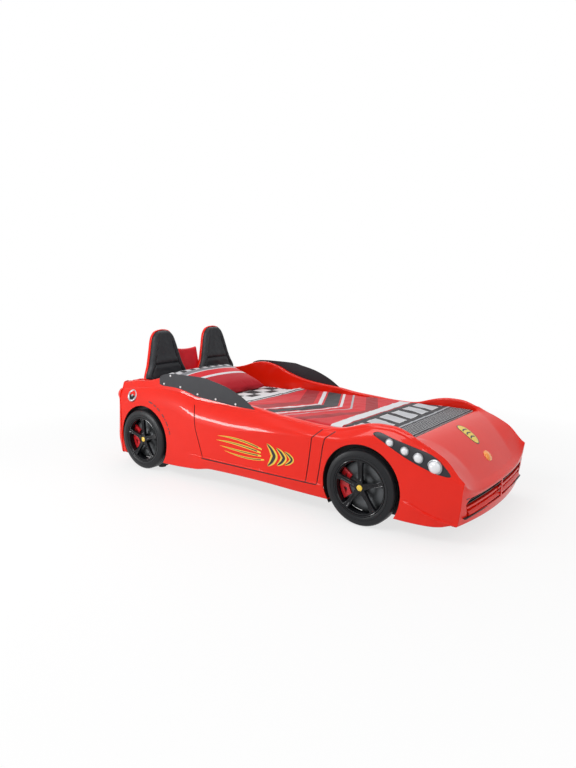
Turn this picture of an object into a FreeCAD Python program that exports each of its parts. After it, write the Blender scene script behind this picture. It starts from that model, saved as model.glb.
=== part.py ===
import FreeCAD, Part
import math
import os

V = FreeCAD.Vector

# Car bed for children, millimetres. +X points to the nose, +Z is up, the origin is on the
# floor in the middle of the footprint.  "Right" is the -Y side.

# ---- driving dimensions ---------------------------------------------------------------
WHEELBASE = 1765.0
FRONT_OVERHANG = 605.0        # front axle to the foremost point of the nose
REAR_OVERHANG = 330.0         # rear axle to the rearmost point of the tail
MATTRESS_WIDTH = 900.0
MATTRESS_LENGTH = 2000.0
MATTRESS_THICK = 108.0
MATTRESS_SIDE_GAP = 5.0       # mattress to the inner wall of a side shell
SLAT_TOP_Z = 395.0            # height of the lying base
SOFT_GAP = 0.3                # a soft piece above what it lies on
SHELL_WALL = 7.0              # moulded plastic shell
GROOVE_WIDTH = 6.0
GROOVE_DEPTH = 4.0
GROOVE_PITCH = 140.0          # length of the straight runs that a groove is cut in
WHEEL_RADIUS = 211.0
WHEEL_WIDTH = 75.0
WHEEL_FLOOR_GAP = 3.0         # the feet carry the bed, the wheels hang just clear
WHEEL_PROUD = 5.0             # wheel face outside the widest line of the doors
ARCH_GAP = 29.0               # tyre to the edge of the wheel arch
RIM_RADIUS = 158.0
SPOKE_COUNT = 5
HUB_RADIUS = 34.0
HUB_CAP_RADIUS = 17.0
WHEEL_SIDES = 26              # flats round the tyre, the barrel, the arch and the well
HUB_SIDES = 16                # flats round the hub, its cap and the brake disc
PIN_SIDES = 10                # flats of an axle where it is fixed, and of small round heads
AXLE_RADIUS = 10.0
AXLE_CLEARANCE = 0.05         # radial running clearance of a wheel on its axle
RAIL_THICK = 18.0             # board thickness of the inner frame
RAIL_HEIGHT = 250.0
RAIL_BEHIND_AXLE = 60.0
LEDGER_SIZE = 25.0
SLAT_THICK = 18.0
SLAT_WIDTH = 68.0
SLAT_COUNT = 14
SLAT_END_GAP = 10.0
BEAM_WIDTH = 40.0
LEG_PITCH = 500.0
FOOT_SIZE = 60.0
GLIDE_HEIGHT = 8.0
BOLT_HEAD_RADIUS = 9.0
BOLT_HEAD_HEIGHT = 5.0

# ---- derived places -------------------------------------------------------------------
LENGTH = REAR_OVERHANG + WHEELBASE + FRONT_OVERHANG
NOSE_X = LENGTH / 2
TAIL_X = -LENGTH / 2
AXLE_F = NOSE_X - FRONT_OVERHANG
AXLE_R = TAIL_X + REAR_OVERHANG
INNER_Y = MATTRESS_WIDTH / 2 + MATTRESS_SIDE_GAP      # inner face of the side shells
DOOR_OUT = 85.0                                       # inner face to the belt line
BELT_Y = INNER_Y + DOOR_OUT
WHEEL_FACE_Y = BELT_Y + WHEEL_PROUD
WHEEL_BACK_Y = WHEEL_FACE_Y - WHEEL_WIDTH
AXLE_Z = WHEEL_RADIUS + WHEEL_FLOOR_GAP
ARCH_RADIUS = WHEEL_RADIUS + ARCH_GAP
BONNET_X = AXLE_F + 261.0                             # back edge of the bonnet
MATTRESS_FRONT_X = BONNET_X - 6.0
MATTRESS_BACK_X = MATTRESS_FRONT_X - MATTRESS_LENGTH
RAIL_OUT_Y = INNER_Y + SHELL_WALL + 1.0
RAIL_IN_Y = RAIL_OUT_Y - RAIL_THICK
TAIL_SEAM_X = AXLE_R - ARCH_RADIUS - 8.0              # side shell ends, tail shell begins


# ---- small tools ----------------------------------------------------------------------
def smooth(points):
    """Monotone cubic curve through (x, value) points; returns a function of x."""
    pts = sorted(points)
    xs = [p[0] for p in pts]
    ys = [p[1] for p in pts]
    n = len(xs)
    step = [xs[i + 1] - xs[i] for i in range(n - 1)]
    slope = [(ys[i + 1] - ys[i]) / step[i] for i in range(n - 1)]
    tangent = [slope[0]] + [0.0] * (n - 2) + [slope[-1]]
    for i in range(1, n - 1):
        if slope[i - 1] * slope[i] > 0:
            w1 = 2 * step[i] + step[i - 1]
            w2 = step[i] + 2 * step[i - 1]
            tangent[i] = (w1 + w2) / (w1 / slope[i - 1] + w2 / slope[i])

    def value(x):
        if x <= xs[0]:
            return ys[0]
        if x >= xs[-1]:
            return ys[-1]
        i = max(k for k in range(n - 1) if xs[k] <= x)
        t = (x - xs[i]) / step[i]
        h00 = (1 + 2 * t) * (1 - t) ** 2
        h10 = t * (1 - t) ** 2
        h01 = t * t * (3 - 2 * t)
        h11 = t * t * (t - 1)
        return (h00 * ys[i] + h10 * step[i] * tangent[i]
                + h01 * ys[i + 1] + h11 * step[i] * tangent[i + 1])

    return value


def along(rear, front):
    """A line along the car: offsets from the rear and from the front axle, with values."""
    return smooth([(AXLE_R + d, v) for d, v in rear] + [(AXLE_F + d, v) for d, v in front])


def box(x0, y0, z0, x1, y1, z1):
    return Part.makeBox(x1 - x0, y1 - y0, z1 - z0, V(x0, y0, z0))


def tidied(shape):
    """The same solids with flat faces that continue each other joined into one."""
    return group([solid.removeSplitter() for solid in shape.Solids])


def mirrored(shape):
    return shape.mirror(V(0, 0, 0), V(0, 1, 0))


def cut_all(shape, cutters):
    for cutter in cutters:
        shape = shape.cut(cutter)
    return shape


def group(solids):
    return Part.makeCompound(solids)


def offset_line(points, distance):
    """Open polyline of (u, v) moved sideways by distance, mitred at its corners."""
    normals = []
    for (u0, v0), (u1, v1) in zip(points[:-1], points[1:]):
        length = math.hypot(u1 - u0, v1 - v0)
        normals.append(((v1 - v0) / length, -(u1 - u0) / length))
    moved = []
    for i, (u, v) in enumerate(points):
        a = normals[max(i - 1, 0)]
        b = normals[min(i, len(normals) - 1)]
        k = 1 + a[0] * b[0] + a[1] * b[1]
        k = max(k, 0.35)
        moved.append((u + distance * (a[0] + b[0]) / k, v + distance * (a[1] + b[1]) / k))
    return moved


def prism_y(outline, y0, y1):
    """Solid between two Y planes over a closed outline of (x, z) points."""
    wire = Part.makePolygon([V(x, y0, z) for x, z in outline] + [V(outline[0][0], y0, outline[0][1])])
    return Part.Face(wire).extrude(V(0, y1 - y0, 0))


def triangle(a, b, c):
    return Part.Face(Part.makePolygon([a, b, c, a]))


def skin_loft(rings):
    """Solid through closed rings of equally many points; its skin is made of flat triangles."""
    count = len(rings[0])
    faces = [Part.Face(Part.makePolygon(ring + ring[:1])) for ring in (rings[0], rings[-1])]
    for near, far in zip(rings[:-1], rings[1:]):
        for i in range(count):
            a, b, c, d = near[i], near[(i + 1) % count], far[(i + 1) % count], far[i]
            if (a - c).Length <= (b - d).Length:
                faces += [triangle(a, b, c), triangle(a, c, d)]
            else:
                faces += [triangle(a, b, d), triangle(b, c, d)]
    solid = Part.makeSolid(Part.makeShell(faces))
    if solid.Volume < 0:
        solid.reverse()
    return solid


def thin_ring(outer, inner):
    """Closed thin section from its outer and inner chains of points."""
    return outer + inner[::-1]


def ring_about(centre, axis, radius, sides):
    """Regular ring of points round centre, in the plane across axis."""
    up = V(0, 0, 1) if abs(axis.z) < 0.9 else V(1, 0, 0)
    across = axis.cross(up).normalize()
    up = across.cross(axis).normalize()
    turns = [2 * math.pi * k / sides for k in range(sides)]
    return [centre + up * (radius * math.cos(t)) + across * (radius * math.sin(t)) for t in turns]


def stepped(centre, axis, profile, sides):
    """Solid with flats round an axis: profile points are (radius, distance along the axis)."""
    return skin_loft([ring_about(centre + axis * d, axis, r, sides) for r, d in profile])


# ---- character lines of the sides -----------------------------------------------------
# Heights, as offsets from the rear axle and from the front axle.
CREST_Z = along(
    [(-330, 590), (-221, 605), (-91, 628), (0, 634), (127, 662), (203, 686), (307, 698),
     (430, 676), (556, 628), (708, 590), (855, 572)],
    [(-745, 558), (-628, 541), (-461, 528), (-303, 517), (-200, 515), (-136, 522), (-73, 541),
     (19, 565), (90, 573), (163, 571), (245, 548), (325, 509), (380, 487), (424, 464),
     (465, 438), (505, 394), (535, 362), (565, 338)])
BAND_FOOT_Z = along(
    [(-330, 540), (-198, 557), (-53, 579), (54, 590), (158, 594), (307, 588), (450, 566),
     (505, 552), (677, 546), (856, 536)],
    [(-745, 532), (-461, 510), (-303, 498), (-200, 496), (-136, 503), (-73, 520), (19, 543),
     (90, 552), (163, 550), (245, 527), (325, 490), (380, 468), (424, 446), (465, 420),
     (505, 380), (535, 352), (565, 330)])
BELT_Z = along(
    [(-330, 478), (0, 482), (240, 470), (420, 436), (560, 408), (797, 396)],
    [(-684, 424), (-306, 446), (-147, 450), (0, 472), (120, 478), (183, 464), (269, 424),
     (364, 386), (434, 362), (496, 346), (565, 322)])
MID_Z = along([(-330, 300), (0, 300)], [(0, 300), (330, 290), (496, 250), (565, 230)])
DOOR_FOOT_Z = along(
    [(-330, 190), (0, 190), (420, 190), (586, 184)],
    [(-280, 186), (240, 204), (298, 190), (371, 160), (452, 137), (530, 124), (565, 120)])
SILL_Z = along(
    [(-330, 84), (-240, 80), (235, 73), (509, 86), (640, 106), (981, 110)],
    [(-402, 101), (-200, 98), (252, 88), (360, 87), (485, 97), (533, 108), (565, 112)])
# Distances outside the inner face.
CREST_OUT = along([(-330, 25), (0, 27), (149, 33), (856, 33)], [(-745, 33), (0, 32), (270, 22), (565, 40)])
SHOULDER_OUT = along([(-330, 46), (158, 46), (450, 46), (856, 44)],
                     [(-745, 44), (90, 44), (270, 36), (565, 41)])
BELT_OUT = along(
    [(-330, 67), (0, 69), (240, 72), (420, 78), (560, 84), (797, 85)],
    [(-684, 85), (-306, 85), (-147, 82), (0, 77), (163, 73), (269, 69), (364, 64), (434, 58),
     (496, 52), (565, 41)])
MID_OUT = along([(-330, 67), (0, 69), (240, 73), (420, 77), (560, 79)],
                [(-684, 78), (-147, 74), (0, 71), (269, 74), (364, 70), (434, 64), (496, 54), (565, 37)])
FOOT_OUT = along([(-330, 62), (0, 70), (240, 75), (509, 76)],
                 [(-684, 75), (-147, 73), (269, 76), (371, 68), (452, 58), (530, 40), (565, 33)])
LEDGE_OUT = along([(-330, 0), (420, 0), (600, 9)],
                  [(-330, 9), (-200, 3), (240, 3), (298, 9), (452, 10), (565, 4)])
SILL_OUT = along([(-330, 40), (-240, 62), (0, 70), (235, 75), (509, 73), (640, 65)],
                 [(-402, 65), (-200, 65), (252, 84), (360, 76), (485, 56), (533, 35), (565, 30)])
INNER_FOOT_Z = SLAT_TOP_Z
CREST_ROUND = 11.0


def side_section(x):
    """Outer line of a side shell at x, as (distance from the middle plane, height)."""
    crest = CREST_Z(x)
    foot = BAND_FOOT_Z(x)
    belt = BELT_Z(x)
    front = x > BONNET_X
    base = INNER_Y + (CREST_OUT(x) - CREST_ROUND - 6 if front else 0)
    inner_foot = crest - 60 if front else INNER_FOOT_Z
    shoulder = INNER_Y + SHOULDER_OUT(x)
    widest = INNER_Y + BELT_OUT(x)
    rise = foot - 5 - belt
    door_foot = DOOR_FOOT_Z(x)
    foot_y = INNER_Y + FOOT_OUT(x)
    sill_y = INNER_Y + SILL_OUT(x)
    return [
        (base, inner_foot),
        (base, crest - CREST_ROUND),
        (base + CREST_ROUND * 0.7, crest - CREST_ROUND * 0.2),
        (INNER_Y + CREST_OUT(x), crest - CREST_ROUND * 0.5),
        (INNER_Y + CREST_OUT(x) + 1.5, foot),
        (shoulder, foot - 5),
        (shoulder + (widest - shoulder) * 0.50, belt + rise * 0.66),
        (shoulder + (widest - shoulder) * 0.84, belt + rise * 0.32),
        (widest, belt),
        (INNER_Y + MID_OUT(x), MID_Z(x)),
        (foot_y, door_foot),
        (foot_y + LEDGE_OUT(x), door_foot - 8),
        (sill_y, SILL_Z(x)),
        (sill_y - 24, SILL_Z(x) + 3),
    ]


def side_ring(x, skip, wall):
    """Closed section of a side shell: the layer from skip to wall under the surface."""
    line = side_section(x)
    outer = offset_line(line, skip) if skip else line
    inner = [offset_line(line, wall)[k] for k in SIDE_INNER]
    return thin_ring([V(x, -u, v) for u, v in outer], [V(x, -u, v) for u, v in inner])


SIDE_INNER = (0, 1, 3, 4, 6, 8, 10, 12, 13)           # corners that the inside follows too
SIDE_STATIONS = (
    [TAIL_SEAM_X] + [AXLE_R + d for d in (-150, -30, 80, 170, 250, 330, 410, 500, 640)]
    + [AXLE_F + d for d in (-900, -680, -460, -300, -190, -110, -30, 60, 150, 261)])


def side_loft(wall, skip=0, stations=None):
    return skin_loft([side_ring(x, skip, wall) for x in stations or SIDE_STATIONS])


# ---- fender beside the bonnet: a single wall from its crest down to the splitter -------
FENDER_STATIONS = [AXLE_F + d for d in (261, 300, 340, 380, 420, 455, 485, 515, 545, 575)]
CREST_OUT_BACK = 22.0         # crest outside the inner face at the back edge of the bonnet
CREST_OUT_NOSE = 40.0         # and at the nose corner
CORNER_TOP = (565.0, 338.0)   # nose corner crease, from the front axle and from the floor
CORNER_FOOT = (533.0, 106.0)


def crest_y(x):
    """Distance of the fender crest from the middle plane, a straight line in plan."""
    share = (x - BONNET_X) / (AXLE_F + CORNER_TOP[0] - BONNET_X)
    return INNER_Y + CREST_OUT_BACK + (CREST_OUT_NOSE - CREST_OUT_BACK) * share


def fender_ring(x, skip, wall):
    line = side_section(x)[3:13]
    line[0] = (crest_y(x), CREST_Z(x))
    line[1] = (max(line[1][0], line[0][0] + 0.5), line[1][1])
    outer = [V(x, -(u - skip), v) for u, v in line]
    inner = [V(x, -(u - wall), v) for u, v in line]
    return thin_ring(outer, inner)


def fender_loft(wall, skip=0):
    body = skin_loft([fender_ring(x, skip, wall) for x in FENDER_STATIONS])
    top_x, top_z = AXLE_F + CORNER_TOP[0], CORNER_TOP[1]
    foot_x, foot_z = AXLE_F + CORNER_FOOT[0], CORNER_FOOT[1]
    lean = (top_x - foot_x) / (top_z - foot_z)
    high = top_z + 100
    low = foot_z - 100
    beyond = [(top_x + lean * 100, high), (top_x + 200, high), (top_x + 200, low), (foot_x - lean * 100, low)]
    return body.cut(prism_y(beyond, -700, -300))


def side_skin(wall):
    return side_loft(wall).fuse(fender_loft(wall))


def front_layer(depth, proud):
    """Layer of the side round the headlight, from proud of its surface down to depth."""
    near = [x for x in SIDE_STATIONS if x > AXLE_F - 60]
    return side_loft(depth, -proud, near).fuse(fender_loft(depth, -proud))


# ---- cuts and inserts of the sides ----------------------------------------------------
def groove(path):
    """Cutter for a groove of even depth that follows an (x, z) path over the side."""
    fine = []
    for (x0, z0), (x1, z1) in zip(path[:-1], path[1:]):
        steps = max(1, round(math.hypot(x1 - x0, z1 - z0) / GROOVE_PITCH))
        fine += [(x0 + (x1 - x0) * k / steps, z0 + (z1 - z0) * k / steps) for k in range(steps)]
    fine.append(path[-1])
    one = offset_line(fine, GROOVE_WIDTH / 2)
    two = offset_line(fine, -GROOVE_WIDTH / 2)
    rings = []
    for (x, z), a, b in zip(fine, one, two):
        deep = skin_y(x, z) - GROOVE_DEPTH
        far = BELT_Y + 60
        rings.append([V(a[0], -deep, a[1]), V(b[0], -deep, b[1]), V(b[0], -far, b[1]), V(a[0], -far, a[1])])
    return skin_loft(rings)


DOOR_GAP = [(AXLE_R + 504, 522), (AXLE_R + 520, 460), (AXLE_R + 530, 361), (AXLE_R + 586, 176),
            (AXLE_F - 282, 176)]
VENT_GAPS = [
    [(AXLE_F - 263, 497), (AXLE_F - 310, 445), (AXLE_F - 316, 403), (AXLE_F - 358, 177)],
    [(AXLE_F - 177, 497), (AXLE_F - 222, 456), (AXLE_F - 236, 410), (AXLE_F - 281, 177)],
]
HEADLIGHT = [
    (AXLE_F + 66, 520), (AXLE_F + 105, 533), (AXLE_F + 210, 504), (AXLE_F + 322, 474), (AXLE_F + 385, 456),
    (AXLE_F + 440, 424), (AXLE_F + 497, 364), (AXLE_F + 434, 364), (AXLE_F + 364, 384), (AXLE_F + 269, 420),
    (AXLE_F + 183, 462), (AXLE_F + 128, 490)]
LAMPS = [(AXLE_F + 142, 500, 15.0), (AXLE_F + 226, 471, 18.0), (AXLE_F + 312, 437, 22.0),
         (AXLE_F + 400, 403, 27.0)]
FUEL_CAP_X = AXLE_R - 117.0
FUEL_CAP_Z = 517.0
FUEL_CAP_RADIUS = 46.0
FUEL_CAP_TILT = 24.0
FUEL_CAP_DEPTH = 9.0
FUEL_CAP_PROUD = 4.0
FUEL_CAP_RING = 12.0          # width of the raised ring round the cap
LAMP_DOME = [(0.92, -0.5), (0.92, 0.1), (0.55, 0.55)]


def skin_y(x, z):
    """How far out the side stands at x, z."""
    line = side_section(x)[3:12]
    for (u0, v0), (u1, v1) in zip(line[:-1], line[1:]):
        if v1 <= z <= v0 and v0 > v1:
            return u0 + (u1 - u0) * (v0 - z) / (v0 - v1)
    return line[0][0] if z > line[0][1] else line[-1][0]


def domed_lamp(lamp):
    """Lens that stands out of the headlight strip."""
    x, z, radius = lamp
    profile = [(radius * r, radius * d) for r, d in LAMP_DOME]
    return stepped(V(x, -skin_y(x, z), z), V(0, -1, 0), profile, PIN_SIDES)


def fuel_cap_disc(profile):
    tilt = math.radians(FUEL_CAP_TILT)
    out = V(0, -math.cos(tilt), math.sin(tilt))
    return stepped(V(FUEL_CAP_X, -skin_y(FUEL_CAP_X, FUEL_CAP_Z), FUEL_CAP_Z), out, profile, HUB_SIDES)


def make_side():
    """Right side shell, headlight strip, its lamps and the fuel cap."""
    shell = side_skin(SHELL_WALL)
    for path in [DOOR_GAP] + VENT_GAPS:
        shell = shell.cut(groove(path))
    for x in (AXLE_F, AXLE_R):
        arch = [(ARCH_RADIUS, INNER_Y + SHELL_WALL + 2), (ARCH_RADIUS, BELT_Y + 60)]
        shell = shell.cut(wheel_form(x, arch, WHEEL_SIDES))
    outline = prism_y(HEADLIGHT, -700, -INNER_Y - CREST_OUT_BACK + 8)
    pocket = outline.common(front_layer(GROOVE_DEPTH, 6))
    housing = shell.common(pocket)
    shell = shell.cut(pocket)
    lamps = [domed_lamp(lamp) for lamp in LAMPS]
    for lamp in lamps:
        housing = housing.cut(lamp)
        shell = shell.cut(lamp)
    cap = fuel_cap_disc([(FUEL_CAP_RADIUS, -FUEL_CAP_DEPTH), (FUEL_CAP_RADIUS, FUEL_CAP_PROUD)])
    shell = shell.cut(cap)
    inner = FUEL_CAP_RADIUS - FUEL_CAP_RING
    cap = cap.cut(fuel_cap_disc([(inner, 1.0), (inner, FUEL_CAP_PROUD + 6)]))
    return shell, housing, group(lamps), cap


# ---- front shell: bonnet, nose and bumper in one skin ----------------------------------
BONNET_Z = along([(0, 517)], [(261, 517), (300, 511), (340, 498), (380, 476), (420, 447), (460, 411),
                              (505, 361), (561, 284)])
VALLEY_SHARE = along([(0, 0.95)], [(261, 0.95), (315, 0.86), (375, 0.77), (455, 0.68), (520, 0.62)])
NOSE_FRONT = NOSE_X - 10.0
BONNET_STATIONS = [AXLE_F + d for d in (300, 340, 380, 420, 460, 505)]
FRONT_SHARES = (0.0, 0.2, 0.4, 0.54, 0.66, 0.78, 0.9, 1.0)
FRONT_INNER = (0, 1, 2, 4, 6, 8, 9, 10, 12, 13, 14, 15)   # corners that the inside follows too
BONNET_ROUND = 9.0
FRONT_SEAM = 0.5              # between the front shell and the fenders beside it


def bonnet_height(x, share):
    """Height of the bonnet: a flat panel that rises from its valley to the fender crest."""
    valley = VALLEY_SHARE(x)
    centre = BONNET_Z(x)
    if share <= valley:
        return centre
    rise = (share - valley) / (1 - valley)
    return centre + (CREST_Z(x) - 1 - centre) * rise


def front_section(share, wall):
    """Closed (x, z) section of the front shell in a plane that fans out with share."""
    top_x, top_z = AXLE_F + CORNER_TOP[0], CORNER_TOP[1] - 1
    foot_x, foot_z = AXLE_F + CORNER_FOOT[0], CORNER_FOOT[1]
    s2 = share ** 2
    lip_x = NOSE_FRONT - (NOSE_FRONT - top_x) * s2
    lip_z = 256 + (top_z - 256) * share ** 6
    crease_x = AXLE_F + 561 - 26 * s2
    crease_z = 283 + (bonnet_height(crease_x, 1.0) - 283) * share ** 3
    low_x = NOSE_FRONT - 9 - (NOSE_FRONT - 9 - foot_x) * s2
    line = [(BONNET_X, INNER_FOOT_Z), (BONNET_X, BONNET_Z(BONNET_X) - BONNET_ROUND)]
    line.append((BONNET_X + BONNET_ROUND, bonnet_height(BONNET_X + BONNET_ROUND, share)))
    line += [(x, bonnet_height(x, share)) for x in BONNET_STATIONS]
    line += [
        (crease_x, crease_z),
        (lip_x, lip_z),
        (lip_x - 4 - 3 * s2, lip_z - 20),
        (lip_x - 3 - 11 * s2, 205 + 5 * s2),
        (low_x + 4 + 2 * s2, 132),
        (low_x, foot_z - 3 + 3 * s2),
        (low_x - 30, foot_z),
    ]
    inner = offset_line(line, wall)
    return line, [inner[k] for k in FRONT_INNER]


def front_ring(side, share, wall):
    def place(point):
        x, z = point
        return V(x, side * share * (crest_y(x) - SHELL_WALL - FRONT_SEAM), z)

    outer, inner = front_section(share, wall)
    return thin_ring([place(p) for p in outer], [place(p) for p in inner])


GRILLE_TOP = 243.0
GRILLE_FOOT = 148.0
GRILLE_HALF = 448.0           # half length of the grille opening
GRILLE_POST = 16.0            # width of the centre post
GRILLE_DEPTH = 34.0
GRILLE_RIM = 6.0              # ledges of the insert above and below the opening
BLADE_BACK = 14.0             # front of the blade behind the nose line
BLADE_Z = 193.0
BLADE_THICK = 12.0
BLADE_GAP = 0.4               # blade to the back of the tray
BAR_STEPS = 5
HOOD_LAMP_DOME = [(22, -8), (22, 1), (12, 10)]
HOOD_LAMP_X = AXLE_F + 505.0


def front_loft(wall):
    signed = [(-1, s) for s in reversed(FRONT_SHARES)] + [(1, s) for s in FRONT_SHARES[1:]]
    return skin_loft([front_ring(side, s, wall) for side, s in signed])


def grille_opening(side):
    """Prism along X through the bumper, with its outer end raked like the nose corner."""
    y0 = GRILLE_POST / 2
    outline = [(y0, GRILLE_TOP), (GRILLE_HALF - 40, GRILLE_TOP), (GRILLE_HALF, GRILLE_TOP - 22),
               (GRILLE_HALF - 30, GRILLE_FOOT), (y0, GRILLE_FOOT)]
    points = [V(AXLE_F + 500, side * y, z) for y, z in outline + outline[:1]]
    return Part.Face(Part.makePolygon(points)).extrude(V(200, 0, 0))


def front_curve(y, back):
    """Plan line of the nose face at y, set back by this much."""
    share = y / (INNER_Y + CREST_OUT_NOSE)
    return NOSE_FRONT - 30 * share ** 2 - back


def curved_bar(back, depth, z0, z1, half):
    """Bar that follows the plan line of the nose."""
    steps = [half * (k / BAR_STEPS - 1) for k in range(2 * BAR_STEPS + 1)]
    front = [V(front_curve(y, back), y, z0) for y in steps]
    rear = [V(front_curve(y, back + depth), y, z0) for y in steps[::-1]]
    face = Part.Face(Part.makePolygon(front + rear + front[:1]))
    return face.extrude(V(0, 0, z1 - z0))


def biggest(shape):
    return max(shape.Solids, key=lambda solid: solid.Volume)


def make_front():
    shell = front_loft(SHELL_WALL)
    for side in (-1, 1):
        shell = shell.cut(grille_opening(side))
    back = SHELL_WALL + GRILLE_DEPTH
    tray = curved_bar(back, 6, GRILLE_FOOT - GRILLE_RIM, GRILLE_TOP + GRILLE_RIM, GRILLE_HALF + 4)
    for z in (GRILLE_FOOT - GRILLE_RIM, GRILLE_TOP):
        tray = tray.fuse(curved_bar(0, back + 1, z, z + GRILLE_RIM, GRILLE_HALF + 4))
    tray = biggest(tray.cut(shell))
    low, high = BLADE_Z - BLADE_THICK / 2, BLADE_Z + BLADE_THICK / 2
    blade = curved_bar(BLADE_BACK, back - BLADE_BACK - BLADE_GAP, low, high, GRILLE_HALF - 34)
    slope = (BONNET_Z(HOOD_LAMP_X + 20) - BONNET_Z(HOOD_LAMP_X - 20)) / 40
    lamp_place = V(HOOD_LAMP_X, 0, BONNET_Z(HOOD_LAMP_X))
    lamp = stepped(lamp_place, V(-slope, 0, 1).normalize(), HOOD_LAMP_DOME, PIN_SIDES)
    return shell.cut(lamp), tray, blade.cut(shell), lamp


# ---- tail shell: wraps round the back from one side shell to the other ------------------
TAIL_RADIUS = TAIL_SEAM_X - TAIL_X
TAIL_PATH_Y = INNER_Y + 67.0
TAIL_BACK = [(128, 606), (110, 601), (104, 556), (30, 540), (9, 522), (7, 498), (55, 456), (23, 345),
             (3, 232), (8, 153), (42, 84), (84, 86)]
TAIL_ANGLES = (0, 15, 30, 45, 60, 75, 90)


def tail_profile(turn):
    """Section (inset, height) after turning from the side (0) to the back (1)."""
    side = [(TAIL_PATH_Y - u, v) for u, v in side_section(TAIL_SEAM_X)[2:]]
    return [(a + (c - a) * turn, b + (d - b) * turn) for (a, b), (c, d) in zip(side, TAIL_BACK)]


def tail_ring(angle, y, mirror, wall):
    phi = math.radians(angle)
    line = tail_profile(angle / 90.0)
    centre_y = TAIL_PATH_Y - TAIL_RADIUS

    def place(point):
        inset, z = point
        reach = TAIL_RADIUS - inset
        side_y = centre_y + reach * math.cos(phi) if angle < 90 else y
        return V(TAIL_SEAM_X - reach * math.sin(phi), mirror * side_y, z)

    inner = offset_line(line, -wall)
    return thin_ring([place(p) for p in line], [place(p) for p in inner])


def make_tail():
    centre_y = TAIL_PATH_Y - TAIL_RADIUS
    half = [tail_ring(a, centre_y, -1, SHELL_WALL) for a in TAIL_ANGLES]
    other = [tail_ring(a, centre_y, 1, SHELL_WALL) for a in reversed(TAIL_ANGLES)]
    return skin_loft(half + other)


# ---- rear deck, seats and centre panel --------------------------------------------------
DECK_Z = 632.0
DECK_FRONT_X = MATTRESS_BACK_X - 30.0
DECK_FLAT = 96.0
SEAT_X = DECK_FRONT_X - 34.0
SEAT_LEAN = 6.0
SEAT_Y = 262.0
SEAT_HEIGHT = 352.0
SEAT_HALF = smooth([(0, 206), (105, 182), (210, 146), (280, 118), (318, 92), (344, 56)])
SEAT_LEVELS = (0, 60, 120, 180, 235, 280, 308, 330, 344)
SEAT_SHELL_THICK = 20.0
SEAT_PAD_THICK = 36.0
SEAT_PAD_EDGE = 9.0           # shell rim seen round the pad
PAD_SEAM_Z = 96.0
CENTRE_PANEL = [(-118, 0), (-98, 192), (98, 192), (118, 0)]
CENTRE_PANEL_THICK = 18.0


def make_deck():
    tail_top = TAIL_BACK[0]
    line = [(TAIL_X + tail_top[0], tail_top[1]), (DECK_FRONT_X - DECK_FLAT - 20, DECK_Z - 6),
            (DECK_FRONT_X - DECK_FLAT, DECK_Z), (DECK_FRONT_X - 10, DECK_Z), (DECK_FRONT_X, DECK_Z - 10),
            (DECK_FRONT_X, INNER_FOOT_Z)]
    outline = line + offset_line(line, SHELL_WALL)[::-1]
    return prism_y(outline, -INNER_Y, INNER_Y)


def seat_ring(x, inset):
    """Closed outline of a seat back at depth x, drawn in by inset."""
    half = [(SEAT_HALF(h) - inset, h if h == 0 else h - inset * 0.3) for h in SEAT_LEVELS]
    right = [V(x, -w, h) for w, h in half]
    left = [V(x, w, h) for w, h in half[::-1]]
    return right + [V(x, 0, SEAT_HEIGHT - inset)] + left


def lean_back(shape, y):
    shape = shape.copy()
    shape.rotate(V(0, 0, 0), V(0, 1, 0), -SEAT_LEAN)
    shape.translate(V(SEAT_X, y, DECK_Z))
    floor = box(SEAT_X - 300, y - 300, DECK_Z - 100, SEAT_X + 300, y + 300, DECK_Z)
    return shape.cut(floor)


def seat_blank(layers):
    """Seat form from (depth, inset) layers; its foot reaches below the deck before trimming."""
    body = skin_loft([seat_ring(x, inset) for x, inset in layers])
    body.translate(V(0, 0, -6))
    return body


def make_seats():
    shell = seat_blank([(-SEAT_SHELL_THICK, 14), (-SEAT_SHELL_THICK * 0.6, 3), (0, 0)])
    edge = SEAT_PAD_EDGE
    thick = SEAT_PAD_THICK
    pad = seat_blank([(0, edge), (thick * 0.45, edge - 4), (thick * 0.85, edge + 8), (thick, edge + 30)])
    seam = box(thick - 7, -300, PAD_SEAM_Z - 2.5, thick + 20, 300, PAD_SEAM_Z + 2.5)
    pad = pad.cut(seam)
    panel_line = [V(0, y, z - 6 if z == 0 else z) for y, z in CENTRE_PANEL + CENTRE_PANEL[:1]]
    panel = Part.Face(Part.makePolygon(panel_line)).extrude(V(CENTRE_PANEL_THICK, 0, 0))
    panel.translate(V(-SEAT_SHELL_THICK - CENTRE_PANEL_THICK, 0, 0))
    seats = {}
    for name, y in (("right", -SEAT_Y), ("left", SEAT_Y)):
        seats["seat_shell_" + name] = lean_back(shell, y)
        seats["seat_pad_" + name] = lean_back(pad, y)
    seats["centre_back_panel"] = lean_back(panel, 0)
    return seats


# ---- side guards ------------------------------------------------------------------------
GUARD_THICK = 4.0
GUARD_OUT = 34.5              # inner face of the guard outside the inner wall
GUARD_TOP = smooth([(149, 664), (170, 680), (242, 700), (330, 704), (450, 704), (580, 701), (646, 688),
                    (754, 665), (896, 611), (999, 548)])
GUARD_FOOT = smooth([(179, 612), (354, 602), (515, 570), (677, 558), (856, 546), (999, 543)])
GUARD_PLACES = (149, 170, 200, 242, 330, 450, 530, 585, 640, 700, 754, 825, 896, 950, 999)
GUARD_SCREWS = [(194, 627), (355, 620), (515, 588), (677, 573), (847, 560), (261, 688)]
SCREW_HEAD_RADIUS = 7.0
SCREW_HEAD_HEIGHT = 4.0


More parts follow.
